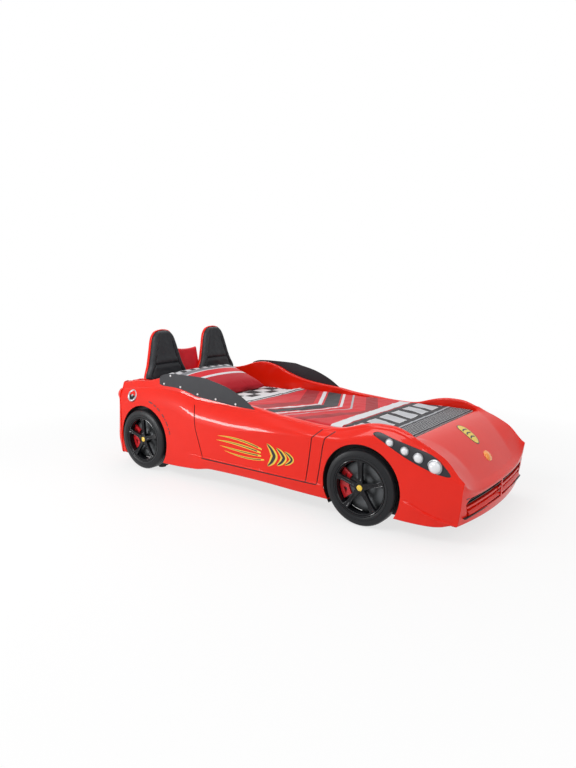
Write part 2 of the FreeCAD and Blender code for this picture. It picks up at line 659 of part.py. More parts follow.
def make_guard():
    face = INNER_Y + GUARD_OUT
    top = [(AXLE_R + d, GUARD_TOP(d)) for d in GUARD_PLACES]
    foot = [(AXLE_R + d, GUARD_FOOT(d)) for d in GUARD_PLACES[:0:-2]]
    guard = prism_y(top + foot, -face, -face - GUARD_THICK)
    profile = [(SCREW_HEAD_RADIUS, 0), (SCREW_HEAD_RADIUS * 0.6, SCREW_HEAD_HEIGHT)]
    screws = []
    for d, z in GUARD_SCREWS:
        screws.append(stepped(V(AXLE_R + d, -face - GUARD_THICK, z), V(0, -1, 0), profile, PIN_SIDES))
    return guard, screws


# ---- wheels -----------------------------------------------------------------------------
DISC_RADIUS = 138.0
DISC_THICK = 5.0
CALIPER_INNER = 84.0
CALIPER_OUTER = 142.0
CALIPER_ANGLE = 38.0
WELL_WALL = 3.0
WELL_OUT_Y = INNER_Y + 50.0
HUB_FACE = 12.0               # hub face behind the wheel face
COUNTERBORE_RADIUS = HUB_CAP_RADIUS + 0.1
COUNTERBORE_DEPTH = 11.0
AXLE_HEAD_RADIUS = 14.0
AXLE_HEAD_THICK = 4.0


def wheel_form(x, profile, sides):
    """Solid with flats round a wheel axis: profile points are (radius, distance from y = 0)."""
    return stepped(V(x, 0, AXLE_Z), V(0, -1, 0), profile, sides)


def axle_seat(x, y0, y1):
    """The flatted part of the axle, and the hole that it fills."""
    return wheel_form(x, [(AXLE_RADIUS, y0), (AXLE_RADIUS, y1)], PIN_SIDES)


def make_tyre(x):
    face, back, radius = WHEEL_FACE_Y, WHEEL_BACK_Y, WHEEL_RADIUS
    outer = [(radius - 22, back), (radius - 1, back + 10), (radius, face - 16), (radius - 7, face - 6),
             (radius - 24, face)]
    body = wheel_form(x, outer, WHEEL_SIDES)
    return body.cut(wheel_form(x, [(RIM_RADIUS, back - 1), (RIM_RADIUS, face + 1)], WHEEL_SIDES))


def spoke(x, angle):
    """One spoke, wider at the hub and at the rim, its face set back towards the hub."""
    outer = WHEEL_FACE_Y - 9
    inner = WHEEL_FACE_Y - HUB_FACE
    sections = []
    for reach, half, face, thick in ((HUB_RADIUS - 6, 17, inner, 20), (70, 12, inner - 2, 18),
                                     (112, 12.5, outer - 2, 17), (RIM_RADIUS - 7, 21, outer + 2, 18)):
        corners = [(-half, -face + thick), (-half * 0.72, -face), (half * 0.72, -face), (half, -face + thick)]
        sections.append([V(x + across, y, AXLE_Z + reach) for across, y in corners])
    arm = skin_loft(sections)
    arm.rotate(V(x, 0, AXLE_Z), V(0, 1, 0), angle)
    return arm


def make_rim(x):
    face, back, bead = WHEEL_FACE_Y, WHEEL_BACK_Y, RIM_RADIUS
    barrel = wheel_form(x, [(bead, back + 6), (bead, face - 4)], WHEEL_SIDES)
    barrel = barrel.cut(wheel_form(x, [(bead - 9, back), (bead - 9, face)], WHEEL_SIDES))
    hub_face = face - HUB_FACE
    hub_back = back + 24
    profile = [(HUB_RADIUS, hub_back), (HUB_RADIUS, hub_face - 5), (HUB_RADIUS - 5, hub_face)]
    hub = wheel_form(x, profile, HUB_SIDES)
    rim = barrel.fuse([hub] + [spoke(x, k * 360.0 / SPOKE_COUNT) for k in range(SPOKE_COUNT)])
    step = hub_face - COUNTERBORE_DEPTH
    rim = rim.cut(wheel_form(x, [(COUNTERBORE_RADIUS, step), (COUNTERBORE_RADIUS, face + 40)], HUB_SIDES))
    depth = step - hub_back + 2
    return rim.cut(Part.makeCylinder(AXLE_RADIUS + AXLE_CLEARANCE, depth, V(x, -step - 1, AXLE_Z), V(0, 1, 0)))


def make_hub_cap(x):
    face = WHEEL_FACE_Y - HUB_FACE
    seat = face - COUNTERBORE_DEPTH + AXLE_HEAD_THICK + 1.0
    r = HUB_CAP_RADIUS
    return wheel_form(x, [(r, seat), (r, face + 1), (r - 4, face + 5)], HUB_SIDES)


def make_axle(x):
    """Stub axle: flatted where it is fixed, round where the wheel turns on it, with a head."""
    seat = WHEEL_FACE_Y - HUB_FACE - COUNTERBORE_DEPTH + 0.3
    journal = WHEEL_BACK_Y + 23
    pin = Part.makeCylinder(AXLE_RADIUS, seat + 1 - journal, V(x, -seat - 1, AXLE_Z), V(0, 1, 0))
    head = wheel_form(x, [(AXLE_HEAD_RADIUS, seat), (AXLE_HEAD_RADIUS, seat + AXLE_HEAD_THICK)], PIN_SIDES)
    return pin.fuse([head, axle_seat(x, RAIL_IN_Y, journal)])


def make_disc(x):
    """Brake disc on a collar that stands on the plate of the wheel well."""
    back = WHEEL_BACK_Y + 14
    plate = RAIL_OUT_Y + WELL_WALL
    collar = AXLE_RADIUS + 14
    profile = [(collar, plate), (collar, back), (DISC_RADIUS, back), (DISC_RADIUS, back + DISC_THICK)]
    disc = wheel_form(x, profile, HUB_SIDES)
    return disc.cut(axle_seat(x, plate - 1, back + DISC_THICK + 1))


def make_caliper(x):
    """Red calliper on the rear part of the disc, with two triangular windows."""
    y0 = WHEEL_BACK_Y + 14 + DISC_THICK
    y1 = y0 + 12
    ring = wheel_form(x, [(CALIPER_OUTER, y0), (CALIPER_OUTER, y1)], WHEEL_SIDES)
    ring = ring.cut(wheel_form(x, [(CALIPER_INNER, y0 - 1), (CALIPER_INNER, y1 + 1)], WHEEL_SIDES))
    a = math.radians(CALIPER_ANGLE)
    reach = CALIPER_OUTER * 1.5
    wedge = [(x, AXLE_Z), (x - reach * math.cos(a), AXLE_Z + reach * math.sin(a)), (x - reach, AXLE_Z),
             (x - reach * math.cos(a), AXLE_Z - reach * math.sin(a))]
    body = ring.common(prism_y(wedge, -600, -400))
    for sign in (-1, 1):
        window = [(x - 94, AXLE_Z + sign * 26), (x - 122, AXLE_Z + sign * 20), (x - 102, AXLE_Z + sign * 62)]
        body = body.cut(prism_y(window, -600, -400))
    return body


def make_well(x):
    """Black liner: a plate on the rail and a hood over the wheel, open at the bottom."""
    inner = ARCH_RADIUS + 2
    outer = inner + WELL_WALL
    hood = wheel_form(x, [(outer, RAIL_OUT_Y), (outer, WELL_OUT_Y)], WHEEL_SIDES)
    hood = hood.cut(wheel_form(x, [(inner, RAIL_OUT_Y + WELL_WALL), (inner, WELL_OUT_Y + 10)], WHEEL_SIDES))
    low = SILL_Z(x) + 30
    hood = hood.cut(box(x - 400, -700, -100, x + 400, -300, low))
    skin_top = INNER_FOOT_Z - 1
    hood = hood.cut(box(x - 400, -INNER_Y - SHELL_WALL - 0.5, skin_top, x + 400, -300, 700))
    return hood.cut(axle_seat(x, RAIL_OUT_Y - 10, WELL_OUT_Y))


# ---- inner frame ------------------------------------------------------------------------
def glide(x, y, radius):
    return stepped(V(x, y, 0), V(0, 0, 1), [(radius, 0), (radius, GLIDE_HEIGHT)], PIN_SIDES)


def make_frame():
    parts = {}
    x0, x1 = AXLE_R - RAIL_BEHIND_AXLE, BONNET_X
    z0, z1 = SLAT_TOP_Z - RAIL_HEIGHT, SLAT_TOP_Z
    holes = [axle_seat(x, RAIL_IN_Y - 20, RAIL_OUT_Y + 20) for x in (AXLE_F, AXLE_R)]
    rail = cut_all(box(x0, -RAIL_OUT_Y, z0, x1, -RAIL_IN_Y, z1), holes)
    bolts = []
    for name, xa, xb, out in (("head_board", x0 - RAIL_THICK, x0, -1), ("foot_board", x1, x1 + RAIL_THICK, 1)):
        parts[name] = box(xa, -RAIL_OUT_Y, z0, xb, RAIL_OUT_Y, z1 - 12)
        face = V(xa if out < 0 else xb, 0, 0)
        for y in (-RAIL_OUT_Y + RAIL_THICK / 2, RAIL_OUT_Y - RAIL_THICK / 2):
            for z in (z0 + 50, z1 - 60):
                head = [(BOLT_HEAD_RADIUS, 0), (BOLT_HEAD_RADIUS, BOLT_HEAD_HEIGHT)]
                bolts.append(stepped(face + V(0, y, z), V(out, 0, 0), head, 6))
    parts["side_rail_right"] = rail
    parts["side_rail_left"] = mirrored(rail)
    parts["frame_bolts"] = group(bolts)
    ledger_top = SLAT_TOP_Z - SLAT_THICK
    ledger = box(x0, -RAIL_IN_Y, ledger_top - LEDGER_SIZE, x1, -RAIL_IN_Y + LEDGER_SIZE, ledger_top)
    parts["ledger_right"] = ledger
    parts["ledger_left"] = mirrored(ledger)
    first = DECK_FRONT_X + SLAT_END_GAP
    pitch = (x1 - SLAT_END_GAP - SLAT_WIDTH - first) / (SLAT_COUNT - 1)
    slats = []
    for k in range(SLAT_COUNT):
        xs = first + k * pitch
        slats.append(box(xs, -RAIL_IN_Y + 1, ledger_top, xs + SLAT_WIDTH, RAIL_IN_Y - 1, SLAT_TOP_Z))
    parts["slats"] = group(slats)
    beam_foot = ledger_top - BEAM_WIDTH
    parts["center_beam"] = box(x0, -BEAM_WIDTH / 2, beam_foot, x1, BEAM_WIDTH / 2, ledger_top)
    middle = (x0 + x1) / 2
    leg_places = (middle - LEG_PITCH, middle, middle + LEG_PITCH)
    half_beam = BEAM_WIDTH / 2
    legs = []
    for x in leg_places:
        legs.append(box(x - half_beam, -half_beam, GLIDE_HEIGHT, x + half_beam, half_beam, beam_foot))
    parts["center_legs"] = group(legs)
    foot_top = ledger_top - LEDGER_SIZE
    foot = FOOT_SIZE
    feet = []
    glides = [glide(x, 0, half_beam - 2) for x in leg_places]
    for x in (AXLE_F, AXLE_R + foot):
        post = box(x - foot / 2, -RAIL_IN_Y, GLIDE_HEIGHT, x + foot / 2, -RAIL_IN_Y + foot, foot_top)
        pad = glide(x, -RAIL_IN_Y + foot / 2, foot / 2 - 3)
        feet += [post, mirrored(post)]
        glides += [pad, mirrored(pad)]
    parts["corner_feet"] = group(feet)
    parts["floor_glides"] = group(glides)
    return parts


# ---- soft pieces ------------------------------------------------------------------------
DUVET_THICK = 16.0
DUVET_BACK_X = MATTRESS_BACK_X + 640.0
PILLOW_LENGTH = 680.0         # across the bed
PILLOW_DEPTH = 400.0
PILLOW_THICK = 120.0
PILLOW_TILT = 17.0
PILLOW_BACK_GAP = 6.0
PILLOW_SINK = 12.0            # its underside is pressed flat by this much


def make_mattress():
    y = MATTRESS_WIDTH / 2
    z0 = SLAT_TOP_Z + SOFT_GAP
    block = box(MATTRESS_BACK_X, -y, z0, MATTRESS_FRONT_X, y, z0 + MATTRESS_THICK)
    vertical = [e for e in block.Edges if e.BoundBox.ZLength > MATTRESS_THICK - 1]
    return block.makeFillet(40, vertical)


def duvet_ring(x, top):
    """Cross-section of the duvet: flat below, softly crowned above, thin at its edges."""
    y = MATTRESS_WIDTH / 2 - 4
    z = SLAT_TOP_Z + SOFT_GAP + MATTRESS_THICK + SOFT_GAP
    crown = [(-y, 5), (-y + 30, top * 0.75), (-y * 0.5, top), (0, top * 0.9), (y * 0.5, top),
             (y - 30, top * 0.75), (y, 5), (y, 0), (-y, 0)]
    return [V(x, across, z + up) for across, up in crown]


def make_duvet():
    x0, x1 = DUVET_BACK_X, MATTRESS_FRONT_X - 4
    places = ((0, 0.5), (0.03, 1.0), (0.2, 1.1), (0.4, 0.9), (0.6, 1.1), (0.8, 0.95), (0.97, 1.0), (1, 0.6))
    return skin_loft([duvet_ring(x0 + t * (x1 - x0), DUVET_THICK * k) for t, k in places])


def pillow_ring(share):
    """Lens section of the pillow; it draws in towards both ends."""
    half_l, half_t = PILLOW_DEPTH / 2, PILLOW_THICK / 2
    swell = math.sqrt(max(0.0, 1 - abs(share) ** 3.2))
    t = max(half_t * swell, 7.0)
    reach = half_l * (0.93 + 0.07 * swell)
    y = share * PILLOW_LENGTH / 2
    upper = [(-1, 4), (-0.88, t * 0.42), (-0.66, t * 0.72), (-0.35, t * 0.94), (0, t), (0.35, t * 0.94),
             (0.66, t * 0.72), (0.88, t * 0.42), (1, 4)]
    return [V(u * reach, y, z) for u, z in upper] + [V(u * reach, y, -z) for u, z in upper[::-1]]


def make_pillow():
    body = skin_loft([pillow_ring(s) for s in (-1, -0.95, -0.85, -0.6, -0.25, 0.25, 0.6, 0.85, 0.95, 1)])
    body.rotate(V(0, 0, 0), V(0, 1, 0), PILLOW_TILT)
    low = body.BoundBox.ZMin
    back = body.BoundBox.XMin
    mattress_top = SLAT_TOP_Z + SOFT_GAP + MATTRESS_THICK
    body.translate(V(MATTRESS_BACK_X + PILLOW_BACK_GAP - back, 0, mattress_top - low - PILLOW_SINK))
    return body.cut(box(-NOSE_X, -BELT_Y, 0, NOSE_X, BELT_Y, mattress_top + SOFT_GAP))


# ---- assembly ---------------------------------------------------------------------------
def build():
    parts = make_frame()
    shell, housing, lamps, cap = make_side()
    guard, screws = make_guard()
    for name, shape in (("side_shell", shell), ("headlight_housing", housing), ("headlight_lamps", lamps),
                        ("fuel_cap", cap), ("guard", guard)):
        parts[name + "_right"] = shape
        parts[name + "_left"] = mirrored(shape)
    parts["guard_screws"] = group(screws + [mirrored(s) for s in screws])
    parts["front_shell"], parts["grille_insert"], parts["grille_blade"], parts["hood_lamp"] = make_front()
    parts["tail_shell"] = make_tail()
    parts["rear_deck"] = make_deck().cut(parts["tail_shell"])
    parts.update(make_seats())
    fixed = (("wheel_wells", make_well), ("brake_discs", make_disc), ("brake_calipers", make_caliper),
             ("axles", make_axle))
    for name, maker in fixed:
        right = [maker(x) for x in (AXLE_F, AXLE_R)]
        parts[name] = group(right + [mirrored(s) for s in right])
    for end, x in (("front", AXLE_F), ("rear", AXLE_R)):
        for name, maker in (("tyre", make_tyre), ("rim", make_rim), ("hub_cap", make_hub_cap)):
            shape = maker(x)
            parts[name + "_" + end + "_right"] = shape
            parts[name + "_" + end + "_left"] = mirrored(shape)
    parts["mattress"] = make_mattress()
    parts["duvet"] = make_duvet()
    parts["pillow"] = make_pillow()
    return parts


os.makedirs("parts", exist_ok=True)
for name, shape in build().items():
    shape = tidied(shape)
    shape.exportStep("parts/" + name + ".step")
    b = shape.BoundBox
    print(name, "valid" if shape.isValid() else "INVALID", len(shape.Solids), round(shape.Volume),
          [round(v) for v in (b.XMin, b.YMin, b.ZMin, b.XMax, b.YMax, b.ZMax)])
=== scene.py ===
import bpy
import bmesh
import math
from mathutils import Matrix, Vector, noise


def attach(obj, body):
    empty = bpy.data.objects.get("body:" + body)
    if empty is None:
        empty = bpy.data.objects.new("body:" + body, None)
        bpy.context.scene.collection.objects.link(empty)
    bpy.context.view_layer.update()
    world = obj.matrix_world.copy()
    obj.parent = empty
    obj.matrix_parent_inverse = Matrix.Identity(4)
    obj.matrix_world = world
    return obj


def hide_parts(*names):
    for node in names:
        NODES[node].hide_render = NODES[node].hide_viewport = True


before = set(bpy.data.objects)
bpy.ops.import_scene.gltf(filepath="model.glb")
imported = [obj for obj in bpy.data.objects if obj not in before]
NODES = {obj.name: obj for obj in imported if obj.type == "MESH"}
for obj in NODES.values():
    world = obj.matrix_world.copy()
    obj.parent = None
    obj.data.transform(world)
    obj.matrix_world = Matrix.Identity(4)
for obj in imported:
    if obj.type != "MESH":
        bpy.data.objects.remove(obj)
bpy.context.scene.view_settings.view_transform = "Standard"
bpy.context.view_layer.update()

# Sizes below are millimetres in the frame of the part: +X to the nose, +Z up, right side at -Y.
MM = 0.001
AXLE_F = 745.0
AXLE_R = -1020.0
INNER_Y = 455.0
BONNET_X = 1006.0
AXLE_Z = 214.0
ARCH_RADIUS = 240.0
NOSE_X = 1350.0
TAIL_X = -1350.0
TAIL_SEAM_X = -1268.0
WHEEL_FACE_Y = 545.0
WHEEL_BACK_Y = 470.0
INNER_FOOT_Z = 395.0
SKIN = 5.0                    # wall of the moulded skins
KNIFE_OUT = 640.0             # cutters for the sides end out here


# ---- small tools ----------------------------------------------------------------------
def smooth(points):
    """Monotone cubic curve through (x, value) points; returns a function of x."""
    pts = sorted(points)
    xs = [p[0] for p in pts]
    ys = [p[1] for p in pts]
    n = len(xs)
    step = [xs[i + 1] - xs[i] for i in range(n - 1)]
    slope = [(ys[i + 1] - ys[i]) / step[i] for i in range(n - 1)]
    tangent = [slope[0]] + [0.0] * (n - 2) + [slope[-1]]
    for i in range(1, n - 1):
        if slope[i - 1] * slope[i] > 0:
            w1 = 2 * step[i] + step[i - 1]
            w2 = step[i] + 2 * step[i - 1]
            tangent[i] = (w1 + w2) / (w1 / slope[i - 1] + w2 / slope[i])

    def value(x):
        if x <= xs[0]:
            return ys[0]
        if x >= xs[-1]:
            return ys[-1]
        i = max(k for k in range(n - 1) if xs[k] <= x)
        t = (x - xs[i]) / step[i]
        h00 = (1 + 2 * t) * (1 - t) ** 2
        h10 = t * (1 - t) ** 2
        h01 = t * t * (3 - 2 * t)
        h11 = t * t * (t - 1)
        return (h00 * ys[i] + h10 * step[i] * tangent[i]
                + h01 * ys[i + 1] + h11 * step[i] * tangent[i + 1])

    return value


def along(rear, front):
    """A line along the car, from offsets to the rear and the front axle, evened out a little."""
    line = smooth([(AXLE_R + d, v) for d, v in rear] + [(AXLE_F + d, v) for d, v in front])
    cache = {}

    def value(x):
        if x not in cache:
            cache[x] = (line(x - 24) + 2 * line(x - 12) + 3 * line(x) + 2 * line(x + 12) + line(x + 24)) / 9
        return cache[x]

    return value


def ease(t):
    t = min(1.0, max(0.0, t))
    return t * t * (3 - 2 * t)


def lerp(a, b, t):
    return a + (b - a) * t


def spaced(a, b, pitch):
    """Values from a to b, both included, about pitch apart."""
    n = max(1, round(abs(b - a) / pitch))
    return [lerp(a, b, k / n) for k in range(n + 1)]


def rounded(line, reach, runs, arc=4):
    """Polyline with each corner rounded from this far before it to this far after it.
    runs gives the divisions of each straight run, so every section gets as many points."""
    def between(p, q, t):
        return tuple(lerp(u, v, t) for u, v in zip(p, q))

    n = len(line)
    out = []
    starts = []
    ends = []
    for i, p in enumerate(line):
        if i in (0, n - 1) or reach[i] <= 0:
            starts.append(p)
            ends.append(p)
            continue
        a, b = line[i - 1], line[i + 1]
        la = max(1e-6, math.hypot(p[0] - a[0], p[1] - a[1]))
        lb = max(1e-6, math.hypot(b[0] - p[0], b[1] - p[1]))
        starts.append(between(p, a, min(reach[i] / la, 0.46)))
        ends.append(between(p, b, min(reach[i] / lb, 0.46)))
    for i, p in enumerate(line):
        s, e = starts[i], ends[i]
        if i in (0, n - 1) or reach[i] <= 0:
            out.append(s)
        else:
            for k in range(arc + 1):
                t = k / arc
                out.append(between(between(s, p, t), between(p, e, t), t))
        if i < n - 1:
            for k in range(1, runs[i]):
                out.append(between(e, starts[i + 1], k / runs[i]))
    return out


def finish_mesh(obj, sharp=40):
    mesh = obj.data
    mesh.polygons.foreach_set("use_smooth", [True] * len(mesh.polygons))
    mesh.set_sharp_from_angle(angle=math.radians(sharp))
    return obj


def add_object(name, data):
    obj = bpy.data.objects.new(name, data)
    bpy.context.scene.collection.objects.link(obj)
    return obj


def new_object(name, points, faces, sharp=40):
    """Mesh object from millimetre points."""
    mesh = bpy.data.meshes.new(name)
    mesh.from_pydata([(x * MM, y * MM, z * MM) for x, y, z in points], [], faces)
    mesh.validate()
    return finish_mesh(add_object(name, mesh), sharp)


def loft(name, rows, closed=False, around=False, caps=False, flip=False, sharp=40):
    """Quads between rows of points; closed joins each row's ends, around joins last row to first."""
    width = len(rows[0])
    points = [p for row in rows for p in row]
    faces = []
    for r in range(len(rows) if around else len(rows) - 1):
        r1 = (r + 1) % len(rows)
        for c in range(width if closed else width - 1):
            c1 = (c + 1) % width
            quad = (r * width + c, r * width + c1, r1 * width + c1, r1 * width + c)
            faces.append(quad[::-1] if flip else quad)
    if caps:
        first = tuple(range(width))
        last = tuple((len(rows) - 1) * width + c for c in range(width))
        faces += [first, last[::-1]] if flip else [first[::-1], last]
    return new_object(name, points, faces, sharp)


def apply_modifiers(obj):
    """Replace the mesh by its evaluated form."""
    depsgraph = bpy.context.evaluated_depsgraph_get()
    mesh = bpy.data.meshes.new_from_object(obj.evaluated_get(depsgraph))
    obj.modifiers.clear()
    obj.data = mesh
    return obj


def modify(obj, kind, **settings):
    """Put one modifier on an object and apply it."""
    modifier = obj.modifiers.new(kind, kind)
    for name, value in settings.items():
        setattr(modifier, name, value)
    return apply_modifiers(obj)


def thicken(obj, wall, sharp=40):
    modify(obj, "SOLIDIFY", thickness=wall * MM, offset=-1, use_even_offset=False)
    return finish_mesh(obj, sharp)


def cut(obj, cutters, sharp=40):
    """Subtract closed cutter objects; the cut faces take the cutter's material."""
    for cutter in cutters:
        modify(obj, "BOOLEAN", operation="DIFFERENCE", solver="EXACT", object=cutter,
               material_mode="TRANSFER")
    for cutter in cutters:
        bpy.data.objects.remove(cutter)
    return finish_mesh(obj, sharp)


def join(objs, name):
    """One object from several, with their materials kept."""
    main = objs[0]
    with bpy.context.temp_override(active_object=main, object=main, selected_objects=objs,
                                   selected_editable_objects=objs):
        bpy.ops.object.join()
    main.name = name
    return main


def mirrored(obj, name, sharp=40):
    """Copy on the other side of the middle plane."""
    mesh = obj.data.copy()
    mesh.transform(Matrix.Scale(-1, 4, (0, 1, 0)))
    mesh.flip_normals()
    return finish_mesh(add_object(name, mesh), sharp)


def paint(obj, *materials):
    obj.data.materials.clear()
    for m in materials:
        obj.data.materials.append(m)
    return obj


def closed_form(name, rows, material=None, sharp=40):
    """Closed loft with capped ends and outward normals."""
    obj = fix_normals(loft(name, rows, closed=True, caps=True, sharp=sharp))
    return paint(obj, material) if material else obj


def dress(obj, body, slot, node=None):
    """Say which body a piece rides on and which solids it stands for; slot is not used."""
    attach(obj, body)
    if node:
        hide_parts(node)


def dress_pair(obj, body, slot, node=None):
    """Dress a right piece and its twin; a body or node that ends in _ gets the side added."""
    base = obj.name[:-len("right")]
    for side, piece in (("left", mirrored(obj, base + "left")), ("right", obj)):
        dress(piece, body + side if body.endswith("_") else body, slot, node and node + side)


# ---- materials ------------------------------------------------------------------------
def add_node(tree, kind, inputs=(), **settings):
    """New shader node; each input is given a value or linked to another node's output."""
    node = tree.nodes.new("ShaderNode" + kind)
    for name, value in settings.items():
        setattr(node, name, value)
    for socket, source in inputs:
        if isinstance(source, bpy.types.NodeSocket):
            tree.links.new(source, node.inputs[socket])
        else:
            node.inputs[socket].default_value = source
    return node


class Shader:
    """A material's node tree with short ways to add nodes."""

    def __init__(self, name, colour, rough, **sockets):
        self.material = bpy.data.materials.new(name)
        self.material.use_nodes = True
        self.tree = self.material.node_tree
        self.bsdf = self.tree.nodes["Principled BSDF"]
        self.bsdf.inputs["Base Color"].default_value = (*colour, 1)
        self.bsdf.inputs["Roughness"].default_value = rough
        for socket, value in sockets.items():
            self.bsdf.inputs[socket.replace("_", " ")].default_value = value
        self.place = self.node("TexCoord").outputs["Object"]

    def node(self, kind, inputs=(), **settings):
        return add_node(self.tree, kind, inputs, **settings)

    def link(self, a, b):
        self.tree.links.new(a, b)

    def value(self, operation, *inputs):
        return self.node("Math", enumerate(inputs), operation=operation).outputs[0]

    def axes(self):
        return self.node("SeparateXYZ", [(0, self.place)]).outputs

    def inside(self, a, low, high):
        """1 where a lies between low and high."""
        return self.value("MULTIPLY", self.value("GREATER_THAN", a, low), self.value("LESS_THAN", a, high))

    def noise(self, scale, detail=3.0, stretch=None):
        place = self.place
        if stretch:
            place = self.node("Mapping", [("Vector", place), ("Scale", stretch)]).outputs["Vector"]
        return self.node("TexNoise", [("Vector", place), ("Scale", scale), ("Detail", detail)]).outputs[0]

    def mix(self, mask, a, b):
        """Colour a where mask is 0 and b where it is 1."""
        inks = [(k, (*x, 1) if isinstance(x, tuple) else x) for k, x in ((6, a), (7, b))]
        return self.node("Mix", [(0, mask)] + inks, data_type="RGBA").outputs[2]

    def bands(self, colour, run, rows):
        """Colour with a stripe of ink wherever run lies between low and high."""
        for low, high, ink in rows:
            colour = self.mix(self.inside(run, low, high), colour, ink)
        return colour

    def ranged(self, source, low, high):
        return self.node("MapRange", [("Value", source), ("To Min", low), ("To Max", high)]).outputs[0]

    def colour(self, source):
        self.link(source, self.bsdf.inputs["Base Color"])

    def rough(self, source):
        self.link(source, self.bsdf.inputs["Roughness"])

    def bump(self, height, strength, distance=0.001):
        node = self.node("Bump", [("Strength", strength), ("Distance", distance), ("Height", height)])
        self.link(node.outputs["Normal"], self.bsdf.inputs["Normal"])

    def weave(self, pitch):
        """Height of a plain weave with threads this many millimetres apart."""
        x, y, z = self.axes()
        k = 2 * math.pi / (pitch * MM)
        across = self.value("SINE", self.value("MULTIPLY", x, k))
        down = self.value("SINE", self.value("MULTIPLY", self.value("ADD", y, z), k))
        return self.value("MULTIPLY", across, down)


def plastic(name, colour, rough, grain=900.0, strength=0.05, shift=0.06, **sockets):
    """Moulded plastic with a faint texture and slight unevenness of colour and gloss."""
    s = Shader(name, colour, rough, **sockets)
    dark = tuple(c * (1 - shift) for c in colour)
    light = tuple(min(1.0, c * (1 + shift)) for c in colour)
    s.colour(s.mix(s.noise(7.0), dark, light))
    s.rough(s.ranged(s.noise(24.0), rough * 0.85, rough * 1.2))
    s.bump(s.noise(grain), strength, 0.0004)
    return s.material


def wood(name, light, dark, rough):
    s = Shader(name, light, rough)
    s.colour(s.mix(s.ranged(s.noise(9.0, 6.0, (1.0, 14.0, 14.0)), -0.2, 1.2), light, dark))
    s.bump(s.noise(60.0, 4.0, (1.0, 10.0, 10.0)), 0.15)
    return s.material


def metal(name, colour, rough, brushed=(1.0, 1.0, 1.0)):
    s = Shader(name, colour, rough, Metallic=1.0)
    s.rough(s.ranged(s.noise(120.0, 3.0, brushed), rough * 0.7, rough * 1.4))
    s.bump(s.noise(300.0, 2.0, brushed), 0.05, 0.0003)
    return s.material


RED = plastic("gloss_red", (0.80, 0.014, 0.003), 0.30, 320.0, 0.02, 0.04,
              Coat_Weight=0.35, Coat_Roughness=0.02, Specular_IOR_Level=0.10)
# Near-black red on the cut walls of the panel gaps and the headlight hole: painted shade standing for the
# shadow in these recesses.
GROOVE_SHADE = plastic("groove_dark", (0.020, 0.004, 0.006), 0.5)
GUARD = plastic("guard_charcoal", (0.030, 0.031, 0.036), 0.42, 1500.0, 0.25, Specular_IOR_Level=0.25)
GLOSS_BLACK = plastic("gloss_black", (0.006, 0.006, 0.008), 0.18, 300.0, 0.02,
                      Coat_Weight=0.2, Coat_Roughness=0.04, Specular_IOR_Level=0.15)
TYRE = plastic("tyre_black", (0.010, 0.011, 0.013), 0.34, 1200.0, 0.2, Specular_IOR_Level=0.25)
LINER = plastic("liner_black", (0.010, 0.010, 0.011), 0.6, 1100.0, 0.3)
LAMP_BED = plastic("lamp_bed", (0.030, 0.030, 0.036), 0.28, 700.0, 0.1, Specular_IOR_Level=0.25)
LAMP = plastic("lamp_pearl", (0.82, 0.83, 0.86), 0.12, 300.0, 0.02, 0.02, Coat_Weight=0.6)
AMBER = plastic("lamp_amber", (0.95, 0.30, 0.010), 0.15, 300.0, 0.03, 0.04, Coat_Weight=0.5)
YELLOW = plastic("hub_yellow", (0.86, 0.60, 0.060), 0.25, 400.0, 0.05)
WHITE = plastic("cap_white", (0.84, 0.84, 0.84), 0.35, 600.0, 0.05, 0.02)
CALIPER = plastic("caliper_red", (0.60, 0.012, 0.018), 0.3, 900.0, 0.15)
SILVER = metal("cap_silver", (0.42, 0.43, 0.45), 0.32)
DISC = metal("disc_grey", (0.10, 0.105, 0.11), 0.42, (1.0, 8.0, 1.0))
GRILLE_MESH = plastic("grille_mesh", (0.012, 0.012, 0.013), 0.45, 220.0, 0.8)
ZINC = metal("zinc", (0.55, 0.56, 0.58), 0.35)
BOARD = plastic("white_board", (0.66, 0.65, 0.62), 0.5, 500.0, 0.08)
PINE = wood("slat_pine", (0.62, 0.43, 0.24), (0.45, 0.27, 0.13), 0.55)


def leather(name, colour, rough, grain=420.0):
    """Coated leather: fine pebbles, soft uneven gloss."""
    s = Shader(name, colour, rough, Sheen_Weight=0.02, Specular_IOR_Level=0.25)
    dark = tuple(c * 0.8 for c in colour)
    light = tuple(min(1.0, c * 1.25) for c in colour)
    s.colour(s.mix(s.noise(14.0), dark, light))
    s.rough(s.ranged(s.noise(60.0), rough * 0.8, rough * 1.25))
    s.bump(s.value("ADD", s.noise(grain, 2.0), s.value("MULTIPLY", s.noise(35.0, 3.0), 0.8)), 0.35, 0.0008)
    return s.material


def cloth_shader(name, rough, **sockets):
    s = Shader(name, (0.5, 0.5, 0.5), rough, Sheen_Weight=0.06, Specular_IOR_Level=0.2, **sockets)
    s.bump(s.value("ADD", s.value("MULTIPLY", s.weave(1.6), 0.25), s.noise(260.0, 2.0)), 0.22, 0.0006)
    return s


WHITE_CLOTH = (0.70, 0.70, 0.72)
BLACK_CLOTH = (0.014, 0.014, 0.018)
GREY_CLOTH = (0.20, 0.20, 0.22)
SILVER_CLOTH = (0.42, 0.43, 0.46)


def checks(s, a, b, pitch):
    """1 on every other square of this pitch in metres."""
    sides = [s.value("GREATER_THAN", s.value("FRACT", s.value("DIVIDE", run, 2 * pitch)), 0.5)
             for run in (a, b)]
    return s.value("ABSOLUTE", s.value("SUBTRACT", *sides))


